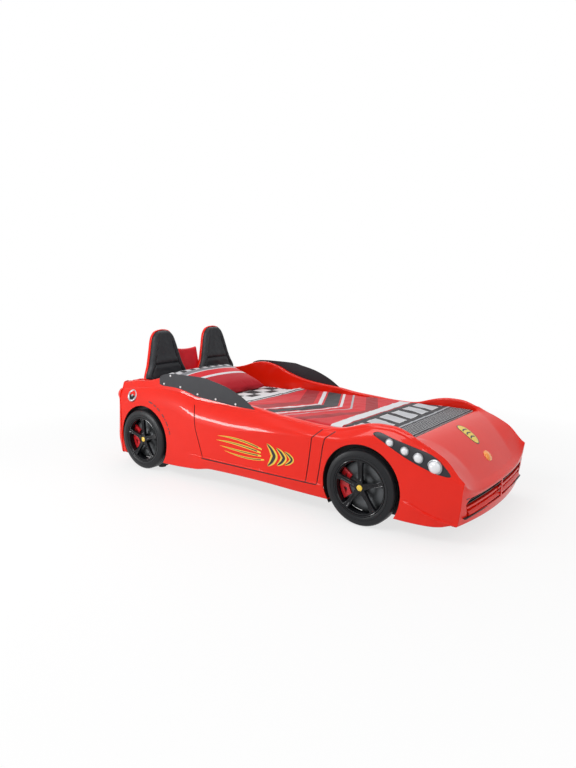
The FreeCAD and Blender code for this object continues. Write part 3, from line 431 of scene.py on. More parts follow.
# Prints, in metres; each band is (from, to, ink).
CHECK = 0.105                 # squares of the sheet
PILLOW_CHECK = 0.042
CHECKED_TO = -0.455           # the sheet is checked from the head to here
WINE = (0.30, 0.006, 0.012)
CHEVRON_SLOPE = 0.55
CHEVRONS = ((-0.04, 0.075, WINE), (0.110, 0.140, WHITE_CLOTH), (0.155, 0.265, BLACK_CLOTH),
            (0.280, 0.300, WHITE_CLOTH), (0.36, 0.375, SILVER_CLOTH), (0.47, 0.56, WINE))
CROSS_BANDS = ((-0.4, -0.300, WHITE_CLOTH), (-0.325, -0.315, BLACK_CLOTH), (-0.300, -0.288, BLACK_CLOTH),
               (0.50, 0.575, WHITE_CLOTH), (0.575, 0.592, WINE), (0.592, 1.1, BLACK_CLOTH))
BAR_PITCH = 0.150
BAR_SLANT = 0.45
BAR_EDGE, BAR_FILL = ((0.13, 0.81), (0.630, 0.800)), ((0.16, 0.78), (0.635, 0.795))
BAR_INK = (0.75, 0.75, 0.76)
DOT_LINE, DOTTED = (0.838, 0.852), (0.862, 1.1)
DOT_WAVES = 210.0             # waves of the dotted foot, in radians a metre
PILLOW_BANDS = ((-0.880, -0.845, GREY_CLOTH), (-0.845, -0.835, WHITE_CLOTH),
                (-0.835, -0.765, (0.64, 0.012, 0.022)), (-0.765, -0.742, WHITE_CLOTH))


def sheet_cloth():
    """White sheet with a checked field at the head."""
    s = cloth_shader("sheet_print", 0.75)
    x, y = s.axes()[:2]
    field = s.value("LESS_THAN", x, CHECKED_TO)
    colour = s.mix(s.noise(6.0), (0.66, 0.66, 0.68), (0.74, 0.74, 0.75))
    dark = s.mix(s.noise(30.0), BLACK_CLOTH, (0.03, 0.03, 0.034))
    s.colour(s.mix(s.value("MULTIPLY", field, checks(s, x, y, CHECK)), colour, dark))
    return s.material


def duvet_cloth():
    """Red ground with chevrons, a dark band of slanted silver bars and a dotted foot."""
    s = cloth_shader("duvet_print", 0.6)
    x, y = s.axes()[:2]
    run = s.value("ADD", x, s.value("MULTIPLY", s.value("ABSOLUTE", y), CHEVRON_SLOPE))
    colour = s.mix(s.noise(5.0), (0.50, 0.010, 0.018), (0.66, 0.016, 0.026))
    colour = s.bands(s.bands(colour, run, CHEVRONS), x, CROSS_BANDS)
    slant = s.value("ADD", y, s.value("MULTIPLY", x, BAR_SLANT))
    slant = s.value("FRACT", s.value("DIVIDE", slant, BAR_PITCH))
    silver = s.mix(s.noise(16.0), SILVER_CLOTH, (0.60, 0.61, 0.64))
    for (across, down), ink in ((BAR_EDGE, BAR_INK), (BAR_FILL, silver)):
        colour = s.mix(s.value("MULTIPLY", s.inside(slant, *across), s.inside(x, *down)), colour, ink)
    waves = [s.value("SINE", s.value("MULTIPLY", s.value(way, x, y), DOT_WAVES))
             for way in ("ADD", "SUBTRACT")]
    dots = s.value("GREATER_THAN", s.value("MULTIPLY", *waves), 0.5)
    dots = s.value("MULTIPLY", dots, s.inside(x, *DOTTED))
    colour = s.mix(s.inside(x, *DOT_LINE), colour, SILVER_CLOTH)
    s.colour(s.mix(dots, colour, WHITE_CLOTH))
    return s.material


def pillow_cloth():
    """Bands across the pillow: a checked head, grey, red, a white stripe and a dark red front."""
    s = cloth_shader("pillow_print", 0.6)
    x, y = s.axes()[:2]
    run = s.value("ADD", x, s.value("MULTIPLY", s.value("MULTIPLY", y, y), 0.10))
    colour = s.mix(s.noise(6.0), (0.40, 0.008, 0.018), (0.50, 0.012, 0.024))
    head = s.mix(checks(s, run, y, PILLOW_CHECK), BLACK_CLOTH, (0.55, 0.55, 0.57))
    colour = s.mix(s.value("LESS_THAN", run, PILLOW_BANDS[0][0]), colour, head)
    s.colour(s.bands(colour, run, PILLOW_BANDS))
    return s.material


LEATHER = leather("seat_leather", (0.018, 0.020, 0.024), 0.38)
PANEL = leather("panel_leather", (0.66, 0.010, 0.022), 0.36, 300.0)
BLACK_INK = plastic("black_ink", (0.012, 0.012, 0.013), 0.35, 500.0, 0.03)
SHEET_CLOTH = sheet_cloth()
DUVET_CLOTH = duvet_cloth()
PILLOW_CLOTH = pillow_cloth()


# ---- character lines of the sides, as heights and as distances outside the inner wall --
CREST_Z = along(
    [(-330, 590), (-221, 605), (-91, 628), (0, 634), (127, 662), (203, 686), (307, 698),
     (430, 676), (556, 628), (708, 590), (855, 572)],
    [(-745, 558), (-628, 541), (-461, 528), (-303, 517), (-200, 515), (-136, 522), (-73, 541),
     (19, 565), (90, 573), (163, 571), (245, 548), (325, 509), (380, 487), (424, 464),
     (465, 438), (505, 394), (535, 362), (565, 338)])
BAND_FOOT_Z = along(
    [(-330, 540), (-198, 557), (-53, 579), (54, 590), (158, 594), (307, 588), (450, 566),
     (505, 552), (677, 546), (856, 536)],
    [(-745, 532), (-461, 510), (-303, 498), (-200, 496), (-136, 503), (-73, 520), (19, 543),
     (90, 552), (163, 550), (245, 527), (325, 490), (380, 468), (424, 446), (465, 420),
     (505, 380), (535, 352), (565, 330)])
BELT_Z = along(
    [(-330, 478), (0, 482), (240, 470), (420, 436), (560, 408), (797, 396)],
    [(-684, 424), (-306, 446), (-147, 450), (0, 472), (120, 478), (183, 464), (269, 424),
     (364, 386), (434, 362), (496, 346), (565, 322)])
MID_Z = along([(-330, 300), (0, 300)], [(0, 300), (330, 290), (496, 250), (565, 230)])
DOOR_FOOT_Z = along(
    [(-330, 190), (0, 190), (420, 190), (586, 184)],
    [(-280, 186), (240, 204), (298, 190), (371, 160), (452, 137), (530, 124), (565, 120)])
SILL_Z = along(
    [(-330, 84), (-240, 80), (235, 73), (509, 86), (640, 106), (981, 110)],
    [(-402, 101), (-200, 98), (252, 88), (360, 87), (485, 97), (533, 108), (565, 112)])
CREST_OUT = along([(-330, 25), (0, 27), (149, 33), (856, 33)], [(-745, 33), (0, 32), (270, 22), (565, 40)])
SHOULDER_OUT = along([(-330, 46), (158, 46), (450, 46), (856, 44)],
                     [(-745, 44), (90, 44), (270, 36), (565, 41)])
BELT_OUT = along(
    [(-330, 67), (0, 69), (240, 72), (420, 78), (560, 84), (797, 85)],
    [(-684, 85), (-306, 85), (-147, 82), (0, 77), (163, 73), (269, 69), (364, 64), (434, 58),
     (496, 52), (565, 41)])
MID_OUT = along([(-330, 67), (0, 69), (240, 73), (420, 77), (560, 79)],
                [(-684, 78), (-147, 74), (0, 71), (269, 74), (364, 70), (434, 64), (496, 54), (565, 37)])
FOOT_OUT = along([(-330, 62), (0, 70), (240, 75), (509, 76)],
                 [(-684, 75), (-147, 73), (269, 76), (371, 68), (452, 58), (530, 40), (565, 33)])
LEDGE_OUT = along([(-330, 0), (420, 0), (600, 9)],
                  [(-330, 9), (-200, 3), (240, 3), (298, 9), (452, 10), (565, 4)])
SILL_OUT = along([(-330, 40), (-240, 62), (0, 70), (235, 75), (509, 73), (640, 65)],
                 [(-402, 65), (-200, 65), (252, 84), (360, 76), (485, 56), (533, 35), (565, 30)])
CREST_ROUND = 11.0
CREST_OUT_BACK = 22.0
CREST_OUT_NOSE = 40.0
CORNER_TOP = (565.0, 338.0)   # nose corner crease, from the front axle and from the floor
CORNER_FOOT = (533.0, 106.0)
CORNER_LEAN = (CORNER_TOP[0] - CORNER_FOOT[0]) / (CORNER_TOP[1] - CORNER_FOOT[1])
CORNER_X = AXLE_F + CORNER_TOP[0]
SIDE_REACH = [0, 9, 9, 9, 1.5, 3, 40, 40, 7, 90, 3, 2, 9, 0]
SIDE_RUNS = [4, 1, 1, 2, 1, 3, 2, 3, 6, 6, 1, 4, 2]


def crest_y(x):
    """Distance of the fender crest from the middle plane beside the bonnet."""
    share = (x - BONNET_X) / (CORNER_X - BONNET_X)
    return INNER_Y + CREST_OUT_BACK + (CREST_OUT_NOSE - CREST_OUT_BACK) * share


def side_corners(x):
    """Corners of the side's section at x, as (distance from the middle plane, height)."""
    crest = CREST_Z(x)
    foot = BAND_FOOT_Z(x)
    belt = BELT_Z(x)
    tuck = ease((x - BONNET_X + 4) / 26)
    edge = crest_y(x)
    base = lerp(INNER_Y, edge - 10, tuck)
    crest_out = lerp(INNER_Y + CREST_OUT(x), edge, tuck)
    shoulder = INNER_Y + SHOULDER_OUT(x)
    widest = INNER_Y + BELT_OUT(x)
    rise = foot - 5 - belt
    door_foot = DOOR_FOOT_Z(x)
    foot_y = INNER_Y + FOOT_OUT(x)
    sill_y = INNER_Y + SILL_OUT(x)
    return [
        (base, lerp(INNER_FOOT_Z, crest - 40, tuck)),
        (base, crest - lerp(CREST_ROUND, 9, tuck)),
        (base + lerp(CREST_ROUND * 0.7, 5, tuck), crest - lerp(CREST_ROUND * 0.2, 3, tuck)),
        (crest_out, crest - lerp(CREST_ROUND * 0.5, 0, tuck)),
        (max(crest_out + 1.5, shoulder - 6), foot),
        (max(shoulder, crest_out + 3), foot - 5),
        (shoulder + (widest - shoulder) * 0.50, belt + rise * 0.66),
        (shoulder + (widest - shoulder) * 0.84, belt + rise * 0.32),
        (widest, belt),
        (INNER_Y + MID_OUT(x), MID_Z(x)),
        (foot_y, door_foot),
        (foot_y + LEDGE_OUT(x), door_foot - 8),
        (sill_y, SILL_Z(x)),
        (sill_y - 24, SILL_Z(x) + 3),
    ]


def side_line(x):
    return rounded(side_corners(x), SIDE_REACH, SIDE_RUNS)


def skin_y(x, z):
    """How far out the side stands at x, z (outer part only)."""
    line = side_line(x)
    for (u0, v0), (u1, v1) in zip(line[8:-1], line[9:]):
        if v1 <= z <= v0 and v0 > v1:
            return u0 + (u1 - u0) * (v0 - z) / (v0 - v1)
    return line[10][0]


def corner_shift(x, z):
    """The nose corner leans back towards its foot; this moves the last stations with it."""
    return -(CORNER_TOP[1] - z) * CORNER_LEAN * ease((x - AXLE_F - 400) / 165)


def side_rows():
    rows = []
    for x in spaced(TAIL_SEAM_X, CORNER_X, 17.0):
        rows.append([(x + corner_shift(x, z), -y, z) for y, z in side_line(x)])
    return rows


def tube_along(path, width, deep, high):
    """Closed cutter that follows (x, z) points over the side: from deep under it to high above."""
    fine = []
    for (x0, z0), (x1, z1) in zip(path[:-1], path[1:]):
        steps = max(1, round(math.hypot(x1 - x0, z1 - z0) / 14))
        fine += [(lerp(x0, x1, k / steps), lerp(z0, z1, k / steps)) for k in range(steps)]
    fine.append(path[-1])
    rows = []
    for i, (x, z) in enumerate(fine):
        a = fine[max(i - 1, 0)]
        b = fine[min(i + 1, len(fine) - 1)]
        length = math.hypot(b[0] - a[0], b[1] - a[1])
        nx, nz = -(b[1] - a[1]) / length * width / 2, (b[0] - a[0]) / length * width / 2
        y = skin_y(x, z)
        rows.append([(x + nx, -(y - deep), z + nz), (x - nx, -(y - deep), z - nz),
                     (x - nx, -(y + high), z - nz), (x + nx, -(y + high), z + nz)])
    # The cutter's near-black colour passes to the gap's cut walls as painted shade.
    return paint(loft("groove", rows, closed=True, caps=True, flip=True), GROOVE_SHADE)


def turned(name, profile, centre, axis="Y", segments=96, sharp=30):
    """Solid of revolution: profile points are (radius, distance along the axis)."""
    rows = []
    for k in range(segments):
        a = 2 * math.pi * k / segments
        row = []
        for r, d in profile:
            if axis == "Y":
                row.append((centre[0] + r * math.sin(a), centre[1] - d, centre[2] + r * math.cos(a)))
            else:
                row.append((centre[0] + r * math.cos(a), centre[1] + r * math.sin(a), centre[2] + d))
        rows.append(row)
    return fix_normals(loft(name, rows, closed=True, around=True, sharp=sharp))


def round_ring(centre, radius, count, first):
    """Places on a circle round the Y axis; first is the share of a step before the first of them."""
    x, y, z = centre
    turns = [2 * math.pi * (k + first) / count for k in range(count)]
    return [(x + radius * math.sin(a), y, z + radius * math.cos(a)) for a in turns]


def fix_normals(obj):
    """Outward normals and no doubled points."""
    bm = bmesh.new()
    bm.from_mesh(obj.data)
    bmesh.ops.remove_doubles(bm, verts=bm.verts, dist=1e-6)
    bmesh.ops.recalc_face_normals(bm, faces=bm.faces)
    bm.to_mesh(obj.data)
    bm.free()
    return obj


GAP_WIDTH, GAP_DEPTH = 6.0, 3.4
DOOR_GAP = [(AXLE_R + 504, 519), (AXLE_R + 520, 460), (AXLE_R + 530, 361), (AXLE_R + 586, 177),
            (AXLE_F - 282, 177)]
VENT_GAPS = [
    [(AXLE_F - 263, 494), (AXLE_F - 310, 445), (AXLE_F - 316, 403), (AXLE_F - 358, 178)],
    [(AXLE_F - 177, 494), (AXLE_F - 222, 456), (AXLE_F - 236, 410), (AXLE_F - 281, 178)],
]
HEADLIGHT = [
    (AXLE_F + 66, 520), (AXLE_F + 105, 533), (AXLE_F + 210, 504), (AXLE_F + 322, 474), (AXLE_F + 385, 456),
    (AXLE_F + 440, 424), (AXLE_F + 497, 364), (AXLE_F + 434, 364), (AXLE_F + 364, 384), (AXLE_F + 269, 420),
    (AXLE_F + 183, 462), (AXLE_F + 128, 490)]
LAMPS = [(AXLE_F + 166, 488, 21.0), (AXLE_F + 250, 456, 22.0), (AXLE_F + 324, 430, 26.0),
         (AXLE_F + 412, 398, 37.0)]


def prism(name, outline, y0, y1, material):
    """Closed prism along Y over (x, z) points."""
    return closed_form(name, [[(x, y, z) for x, z in outline] for y in (y0, y1)], material)


def curve_through(points, per_run=6):
    """Closed Catmull-Rom line through the points of an outline."""
    n = len(points)
    out = []
    for i in range(n):
        p0, p1, p2, p3 = (points[(i + k - 1) % n] for k in range(4))
        for k in range(per_run):
            t = k / per_run
            out.append(tuple(0.5 * (2 * b + (c - a) * t + (2 * a - 5 * b + 4 * c - d) * t * t
                                    + (3 * b - a - 3 * c + d) * t ** 3)
                             for a, b, c, d in zip(p0, p1, p2, p3)))
    return out


def make_sides():
    skin = paint(thicken(loft("side_skin_right", side_rows()), SKIN), RED)
    knives = [tube_along(path, GAP_WIDTH, GAP_DEPTH, 20.0) for path in [DOOR_GAP] + VENT_GAPS]
    near = INNER_Y + SKIN
    for x in (AXLE_F, AXLE_R):
        profile = [(0, near), (ARCH_RADIUS, near), (ARCH_RADIUS, KNIFE_OUT), (0, KNIFE_OUT)]
        knives.append(paint(turned("arch", profile, (x, 0, AXLE_Z), segments=120), RED))
    # The headlight hole's cut walls take the same painted shade.
    knives.append(prism("lamp_hole", curve_through(HEADLIGHT, 4), -KNIFE_OUT, -INNER_Y - 16, GROOVE_SHADE))
    dress_pair(cut(skin, knives), "bed", "shell_red", "side_shell_")


# ---- front skin: bonnet, nose and bumper ------------------------------------------------
BONNET_Z = along([(0, 517)], [(261, 517), (300, 511), (340, 498), (380, 476), (420, 447), (460, 411),
                              (505, 361), (561, 284)])
VALLEY_SHARE = along([(0, 0.95)], [(261, 0.95), (315, 0.86), (375, 0.77), (455, 0.68), (520, 0.62)])
NOSE_FRONT = NOSE_X - 10.0
LIP_Z = 256.0
CREASE_Z = 283.0
GRILLE_TOP = 243.0
GRILLE_FOOT = 148.0
GRILLE_HALF = 448.0
GRILLE_POST = 16.0


def bonnet_height(x, share):
    """Flat middle panel that rises from its valley line to the fender crest."""
    valley = VALLEY_SHARE(x)
    centre = BONNET_Z(x)
    if share <= valley:
        return centre
    return centre + (CREST_Z(x) - 1 - centre) * (share - valley) / (1 - valley)


def front_corners(t):
    """Corners of the front's section; t is 0 in the middle, 0.7 on the valley line, 1 at the crest."""
    def share_at(x):
        valley = VALLEY_SHARE(x)
        return t / 0.7 * valley if t < 0.7 else valley + (t - 0.7) / 0.3 * (1 - valley)

    def on_bonnet(x):
        s = share_at(x)
        return (x, bonnet_height(x, s), s)

    s = share_at(AXLE_F + 540)
    top_x, top_z = CORNER_X, CORNER_TOP[1] - 1
    foot_x, foot_z = AXLE_F + CORNER_FOOT[0], CORNER_FOOT[1]
    s2 = s ** 2
    lip_x = NOSE_FRONT - (NOSE_FRONT - top_x) * s2
    crease_x = AXLE_F + 561 - 26 * s2
    low_x = NOSE_FRONT - 9 - (NOSE_FRONT - 9 - foot_x) * s2
    first = on_bonnet(BONNET_X + 9)
    line = [(BONNET_X, INNER_FOOT_Z, first[2]), (BONNET_X, first[1] - 9, first[2]), first]
    line += [on_bonnet(AXLE_F + d) for d in range(285, 510, 20)]
    return line + [
        (crease_x, CREASE_Z + (bonnet_height(crease_x, 1.0) - CREASE_Z) * s ** 3, s),
        (lip_x, LIP_Z + (top_z - LIP_Z) * s ** 6, s),
        (lip_x - 4 - 3 * s2, LIP_Z + (top_z - LIP_Z) * s ** 6 - 20, s),
        (lip_x - 3 - 11 * s2, 205 + 5 * s2, s),
        (low_x + 4 + 2 * s2, 132, s),
        (low_x, foot_z - 3 + 3 * s2, s),
        (low_x - 30, foot_z, s),
    ]


def front_edge_y(x, z):
    """Where the front meets the side: along the crest, then down the nose corner."""
    if x < CORNER_X - 12 and z > 250:
        return crest_y(x) - 1
    return min(skin_y(CORNER_X, min(z, CREST_Z(CORNER_X) - 8)), crest_y(CORNER_X)) - 0.5


FRONT_REACH = [0, 8, 12] + [9] * 12 + [5, 9, 6, 30, 20, 8, 0]
FRONT_RUNS = [3, 1, 1] + [1] * 12 + [3, 2, 3, 4, 2, 2]


def front_rows():
    half = []
    for t in spaced(0.0, 1.0, 1 / 36):
        corners = front_corners(t)
        half.append([(x, share, z) for x, z, share in rounded(corners, FRONT_REACH, FRONT_RUNS)])
    rows = []
    for sign, side in ((-1, half[::-1]), (1, half[1:])):
        for row in side:
            rows.append([(x, sign * share, z) for x, share, z in row])
    return rows


def make_front():
    rows = [[(x, share * front_edge_y(x, z), z) for x, share, z in row] for row in front_rows()]
    skin = paint(thicken(loft("front_skin", rows), SKIN), RED)
    knives = []
    for side in (-1, 1):
        y0 = GRILLE_POST / 2
        outline = [(y0, GRILLE_TOP), (GRILLE_HALF - 40, GRILLE_TOP), (GRILLE_HALF, GRILLE_TOP - 22),
                   (GRILLE_HALF - 30, GRILLE_FOOT), (y0, GRILLE_FOOT)]
        line = rounded(outline + outline[:1], [0, 10, 10, 14, 3, 0], [3, 2, 2, 3, 3])[:-1]
        knife_rows = [[(x, side * y, z) for y, z in line] for x in (AXLE_F + 480, AXLE_F + 720)]
        knives.append(closed_form("grille_cut", knife_rows, RED))
    dress(cut(skin, knives), "bed", "shell_red", "front_shell")


def nose_line(y, back):
    """Plan line of the nose at y, set back by this much."""
    share = y / (INNER_Y + CREST_OUT_NOSE)
    return NOSE_FRONT - 30 * share ** 2 - back


def nose_bar(name, section, half, material, steps=40):
    """Bar along the nose line; section points are (distance behind the nose line, height)."""
    rows = []
    for k in range(steps + 1):
        y = lerp(-half, half, k / steps)
        rows.append([(nose_line(y, back), y, z) for back, z in section])
    return closed_form(name, rows, material)


BLADE_Z = 193.0


def make_grille():
    """Black tray with louvres, and the red blade with the shelf under it."""
    top, foot, mid = GRILLE_TOP, GRILLE_FOOT, BLADE_Z
    tray = nose_bar("grille_tray", [
        (40, top + 6), (8, top + 6), (8, top + 1), (36, top - 3), (36, foot + 3), (8, foot - 1),
        (8, foot - 6), (40, foot - 6)], GRILLE_HALF + 2, GRILLE_MESH)
    blade = nose_bar("blade", [
        (16, mid - 2), (18, mid + 5), (24, mid + 7), (36, mid + 6), (36, mid - 6), (22, mid - 7),
        (17, mid - 5)], GRILLE_HALF - 20, RED)
    shelf = nose_bar("shelf", [
        (13, foot + 2), (9, foot + 9), (12, foot + 19), (20, foot + 26), (35, foot + 28),
        (35, foot + 2)], GRILLE_HALF - 34, RED)
    louvres = []
    for z in spaced(mid + 16, top - 10, (top - mid - 26) / 2):
        louvres.append(nose_bar("louvre", [(26, z - 1.5), (26, z + 1.5), (37, z + 2.5), (37, z - 0.5)],
                                GRILLE_HALF - 16, GLOSS_BLACK))
    dress(join([tray] + louvres, "grille_tray"), "bed", "black_gloss", "grille_insert")
    dress(join([blade, shelf], "blade"), "bed", "shell_red", "grille_blade")


# ---- tail skin ---------------------------------------------------------------------------
TAIL_RADIUS = TAIL_SEAM_X - TAIL_X
TAIL_PATH_Y = INNER_Y + 67.0
TAIL_BACK = [(128, 606), (110, 601), (104, 556), (30, 540), (9, 522), (7, 498), (55, 456), (23, 345),
             (3, 232), (8, 153), (42, 84), (84, 86)]
TAIL_REACH = [0, 9, 8, 8, 10, 16, 24, 40, 60, 20, 9, 0]
TAIL_RUNS = [1, 3, 3, 2, 2, 3, 6, 6, 4, 4, 2]


def tail_corners(turn):
    side = [(TAIL_PATH_Y - u, v) for u, v in side_corners(TAIL_SEAM_X)[2:]]
    return [(lerp(a, c, turn), lerp(b, d, turn)) for (a, b), (c, d) in zip(side, TAIL_BACK)]


def tail_reach(turn):
    return [lerp(a, b, turn) for a, b in zip(SIDE_REACH[2:], TAIL_REACH)]


def make_tail():
    centre_y = TAIL_PATH_Y - TAIL_RADIUS
    rows = []
    stations = [(a, None) for a in spaced(0, 90, 6)]
    stations += [(90, y) for y in spaced(-centre_y, centre_y, 60)[1:-1]]
    stations += [(-a, None) for a in spaced(90, 0, 6)]
    for angle, y in stations:
        turn = abs(angle) / 90.0
        mirror = -1 if angle > 0 or (angle == 0 and not rows) else 1
        line = rounded(tail_corners(turn), tail_reach(turn), TAIL_RUNS)
        phi = math.radians(abs(angle))
        row = []
        for inset, z in line:
            reach = TAIL_RADIUS - inset
            across = centre_y + reach * math.cos(phi)
            row.append((TAIL_SEAM_X - reach * math.sin(phi), y if y is not None else mirror * across, z))
        rows.append(row)
    dress(paint(thicken(loft("tail_skin", rows), SKIN), RED), "bed", "shell_red", "tail_shell")


# ---- headlights, fuel caps, guards ---------------------------------------------------------
def inside_outline(x, z, outline):
    hit = False
    for (x0, z0), (x1, z1) in zip(outline, outline[1:] + outline[:1]):
        if (z0 > z) != (z1 > z) and x < (x1 - x0) * (z - z0) / (z1 - z0) + x0:
            hit = not hit
    return hit


HEADLIGHT_MID = smooth([(800, 510), (873, 495), (955, 480), (1030, 450), (1120, 410), (1200, 385),
                        (1250, 362)])
BED_START = (800, 350)        # corner of the grid that the strip's bed is made of, and its cells
BED_PITCH = 6.0
BED_CELLS = (78, 34)
BED_DEPTH = 3.0
LAMP_DOME = [(0, 0.62), (0.3, 0.58), (0.6, 0.44), (0.82, 0.22), (0.9, 0)]   # in radii of the lamp


def make_headlight():
    """Dark strip just under the skin, with four pearl lamps in metal rings."""
    line = curve_through(HEADLIGHT, 4)
    cx = sum(x for x, z in line) / len(line)
    grown = []
    for x, z in line:
        outward = (8 if x > cx else -8) * min(1, abs(x - cx) / 60)
        grown.append((x + outward, z + (7 if z > HEADLIGHT_MID(x) else -7)))
    cells = {}
    points = []
    faces = []

    def place(i, j):
        return BED_START[0] + i * BED_PITCH, BED_START[1] + j * BED_PITCH

    def corner(i, j):
        if (i, j) not in cells:
            x, z = place(i, j)
            cells[(i, j)] = len(points)
            points.append((x, -(skin_y(x, z) - BED_DEPTH), z))
        return cells[(i, j)]

    for i in range(BED_CELLS[0]):
        for j in range(BED_CELLS[1]):
            if inside_outline(*place(i + 0.5, j + 0.5), grown):
                faces.append((corner(i, j), corner(i + 1, j), corner(i + 1, j + 1), corner(i, j + 1)))
    bed = paint(thicken(new_object("lamp_bed_right", points, faces), 2.0), LAMP_BED)
    parts = []
    for x, z, radius in LAMPS:
        centre = (x, -(skin_y(x, z) - BED_DEPTH), z)
        dome = [(radius * r, radius * h) for r, h in LAMP_DOME] + [(radius * 0.9, -6), (0, -6)]
        ring = [(radius * r, h) for r, h in ((0.88, -4), (0.88, 3), (0.96, 5), (1.06, 3), (1.08, -4))]
        parts.append(paint(turned("lamp", dome, centre, segments=40), LAMP))
        parts.append(paint(turned("ring", ring, centre, segments=40), SILVER))
    lamps = join(parts, "lamp_set_right")
    dress_pair(bed, "bed", "black_gloss", "headlight_housing_")
    dress_pair(lamps, "bed", "lamp_white", "headlight_lamps_")


FUEL_CAP = (AXLE_R - 117.0, 517.0, 46.0)
FUEL_CAP_TILT = math.radians(24.0)


def make_fuel_cap():
    x, z, radius = FUEL_CAP
    inner = radius - 15
    ring = [(inner, -3), (inner + 1, 3), (radius - 8, 6), (radius - 3, 5), (radius, 1), (radius, -6),
            (inner, -6)]
    plate = [(0, 1.5), (radius * 0.30, 1.5), (radius * 0.34, 0), (inner, 0), (inner, -5), (0, -5)]
    knob = [(0, 5), (7, 5), (9, 3.5), (9, 0), (0, 0)]
    bolt = [(0, 7.2), (2.6, 7.2), (3.2, 6.4), (3.2, 2), (0, 2)]
    parts = []
    for profile, count, material in ((ring, 72, SILVER), (plate, 72, GLOSS_BLACK), (knob, 32, SILVER)):
        parts.append(paint(turned("cap", profile, (0, 0, 0), segments=count), material))
    for place in round_ring((0, 0, 0), radius - 7.5, 6, 0.0):
        parts.append(paint(turned("cap_bolt", bolt, place, segments=12), ZINC))
    cap = join(parts, "fuel_cap_ring_right")
    place = Vector((x, -skin_y(x, z), z)) * MM
    cap.data.transform(Matrix.Translation(place) @ Matrix.Rotation(-FUEL_CAP_TILT, 4, "X"))
    dress_pair(cap, "bed", "cap_silver", "fuel_cap_")


GUARD_TOP = smooth([(149, 660), (156, 672), (175, 684), (242, 700), (330, 704), (450, 704), (580, 701),
                    (646, 688), (754, 665), (896, 611), (999, 548)])
GUARD_FOOT = smooth([(999, 543), (856, 546), (677, 558), (515, 570), (354, 602), (179, 612), (149, 620)])
GUARD_SCREWS = [(194, 627), (355, 620), (515, 588), (677, 573), (847, 560), (261, 688)]
GUARD_FACE = 34.5
GUARD_THICK = 4.0


def make_guard():
    """Curved plate with rounded edges, standing on the side's crest."""
    rows = []
    y0 = -(INNER_Y + GUARD_FACE)
    y1 = y0 - GUARD_THICK
    for d in spaced(149, 999, 10):
        top, foot = GUARD_TOP(d), GUARD_FOOT(d)
        e = min(1.2, (top - foot) / 4)
        rows.append([(AXLE_R + d, y, z) for y, z in (
            (y0, foot + e), (y0 - e, foot), (y1 + e, foot), (y1, foot + e), (y1, lerp(foot, top, 0.5)),
            (y1, top - e), (y1 + e, top), (y0 - e, top), (y0, top - e), (y0, lerp(foot, top, 0.5)))])
    guard = closed_form("guard_plate_right", rows, GUARD)
    cap = [(0, 4.2), (3.5, 3.8), (6.0, 2.6), (7.0, 0.4), (7.0, -0.2), (0, -0.2)]
    caps = [turned("cap", cap, (AXLE_R + d, y1, z), segments=24) for d, z in GUARD_SCREWS]
    caps += [mirrored(obj, "cap_twin", 30) for obj in caps]
    dress(paint(join(caps, "screw_caps"), WHITE), "bed", "screw_white", "guard_screws")
    dress_pair(guard, "bed", "guard_black", "guard_")


# ---- wheels ---------------------------------------------------------------------------------
WHEEL_RADIUS = 211.0
RIM_RADIUS = 158.0
SPOKES = 5
NUT_RING = 25.5
SPOKE_STATIONS = [            # place from the hub, half width, how far back the face lies
    (24, 18, 13), (38, 17, 12.5), (55, 14.5, 14), (80, 12.5, 14), (105, 13.0, 12), (125, 15.5, 9.5),
    (140, 19, 7.5), (152, 24, 6.5)]


def spoke_mesh(x, angle):
    """Twin-ridged spoke: two raised ribs with a valley between them, flared at hub and rim."""
    curve_half = smooth([(r, h) for r, h, back in SPOKE_STATIONS])
    curve_face = smooth([(r, WHEEL_FACE_Y - back) for r, h, back in SPOKE_STATIONS])
    rows = []
    for r in spaced(24, 152, 5):
        h, f = curve_half(r), curve_face(r)
        valley = 4.5 * ease((r - 30) / 25) * (1 - 0.4 * ease((r - 120) / 30))
        half = [(h, f - 19), (h, f - 6), (h * 0.92, f - 1.5), (h * 0.72, f), (h * 0.5, f - 0.8),
                (h * 0.28, f - valley)]
        section = [(-a, b) for a, b in half] + [(0, f - valley * 1.15)] + half[::-1]
        rows.append([(x + a, -b, AXLE_Z + r) for a, b in section])
    arm = closed_form("spoke", rows)
    hub = Matrix.Translation((x * MM, 0, AXLE_Z * MM))
    arm.data.transform(hub @ Matrix.Rotation(math.radians(angle), 4, "Y") @ hub.inverted())
    return arm


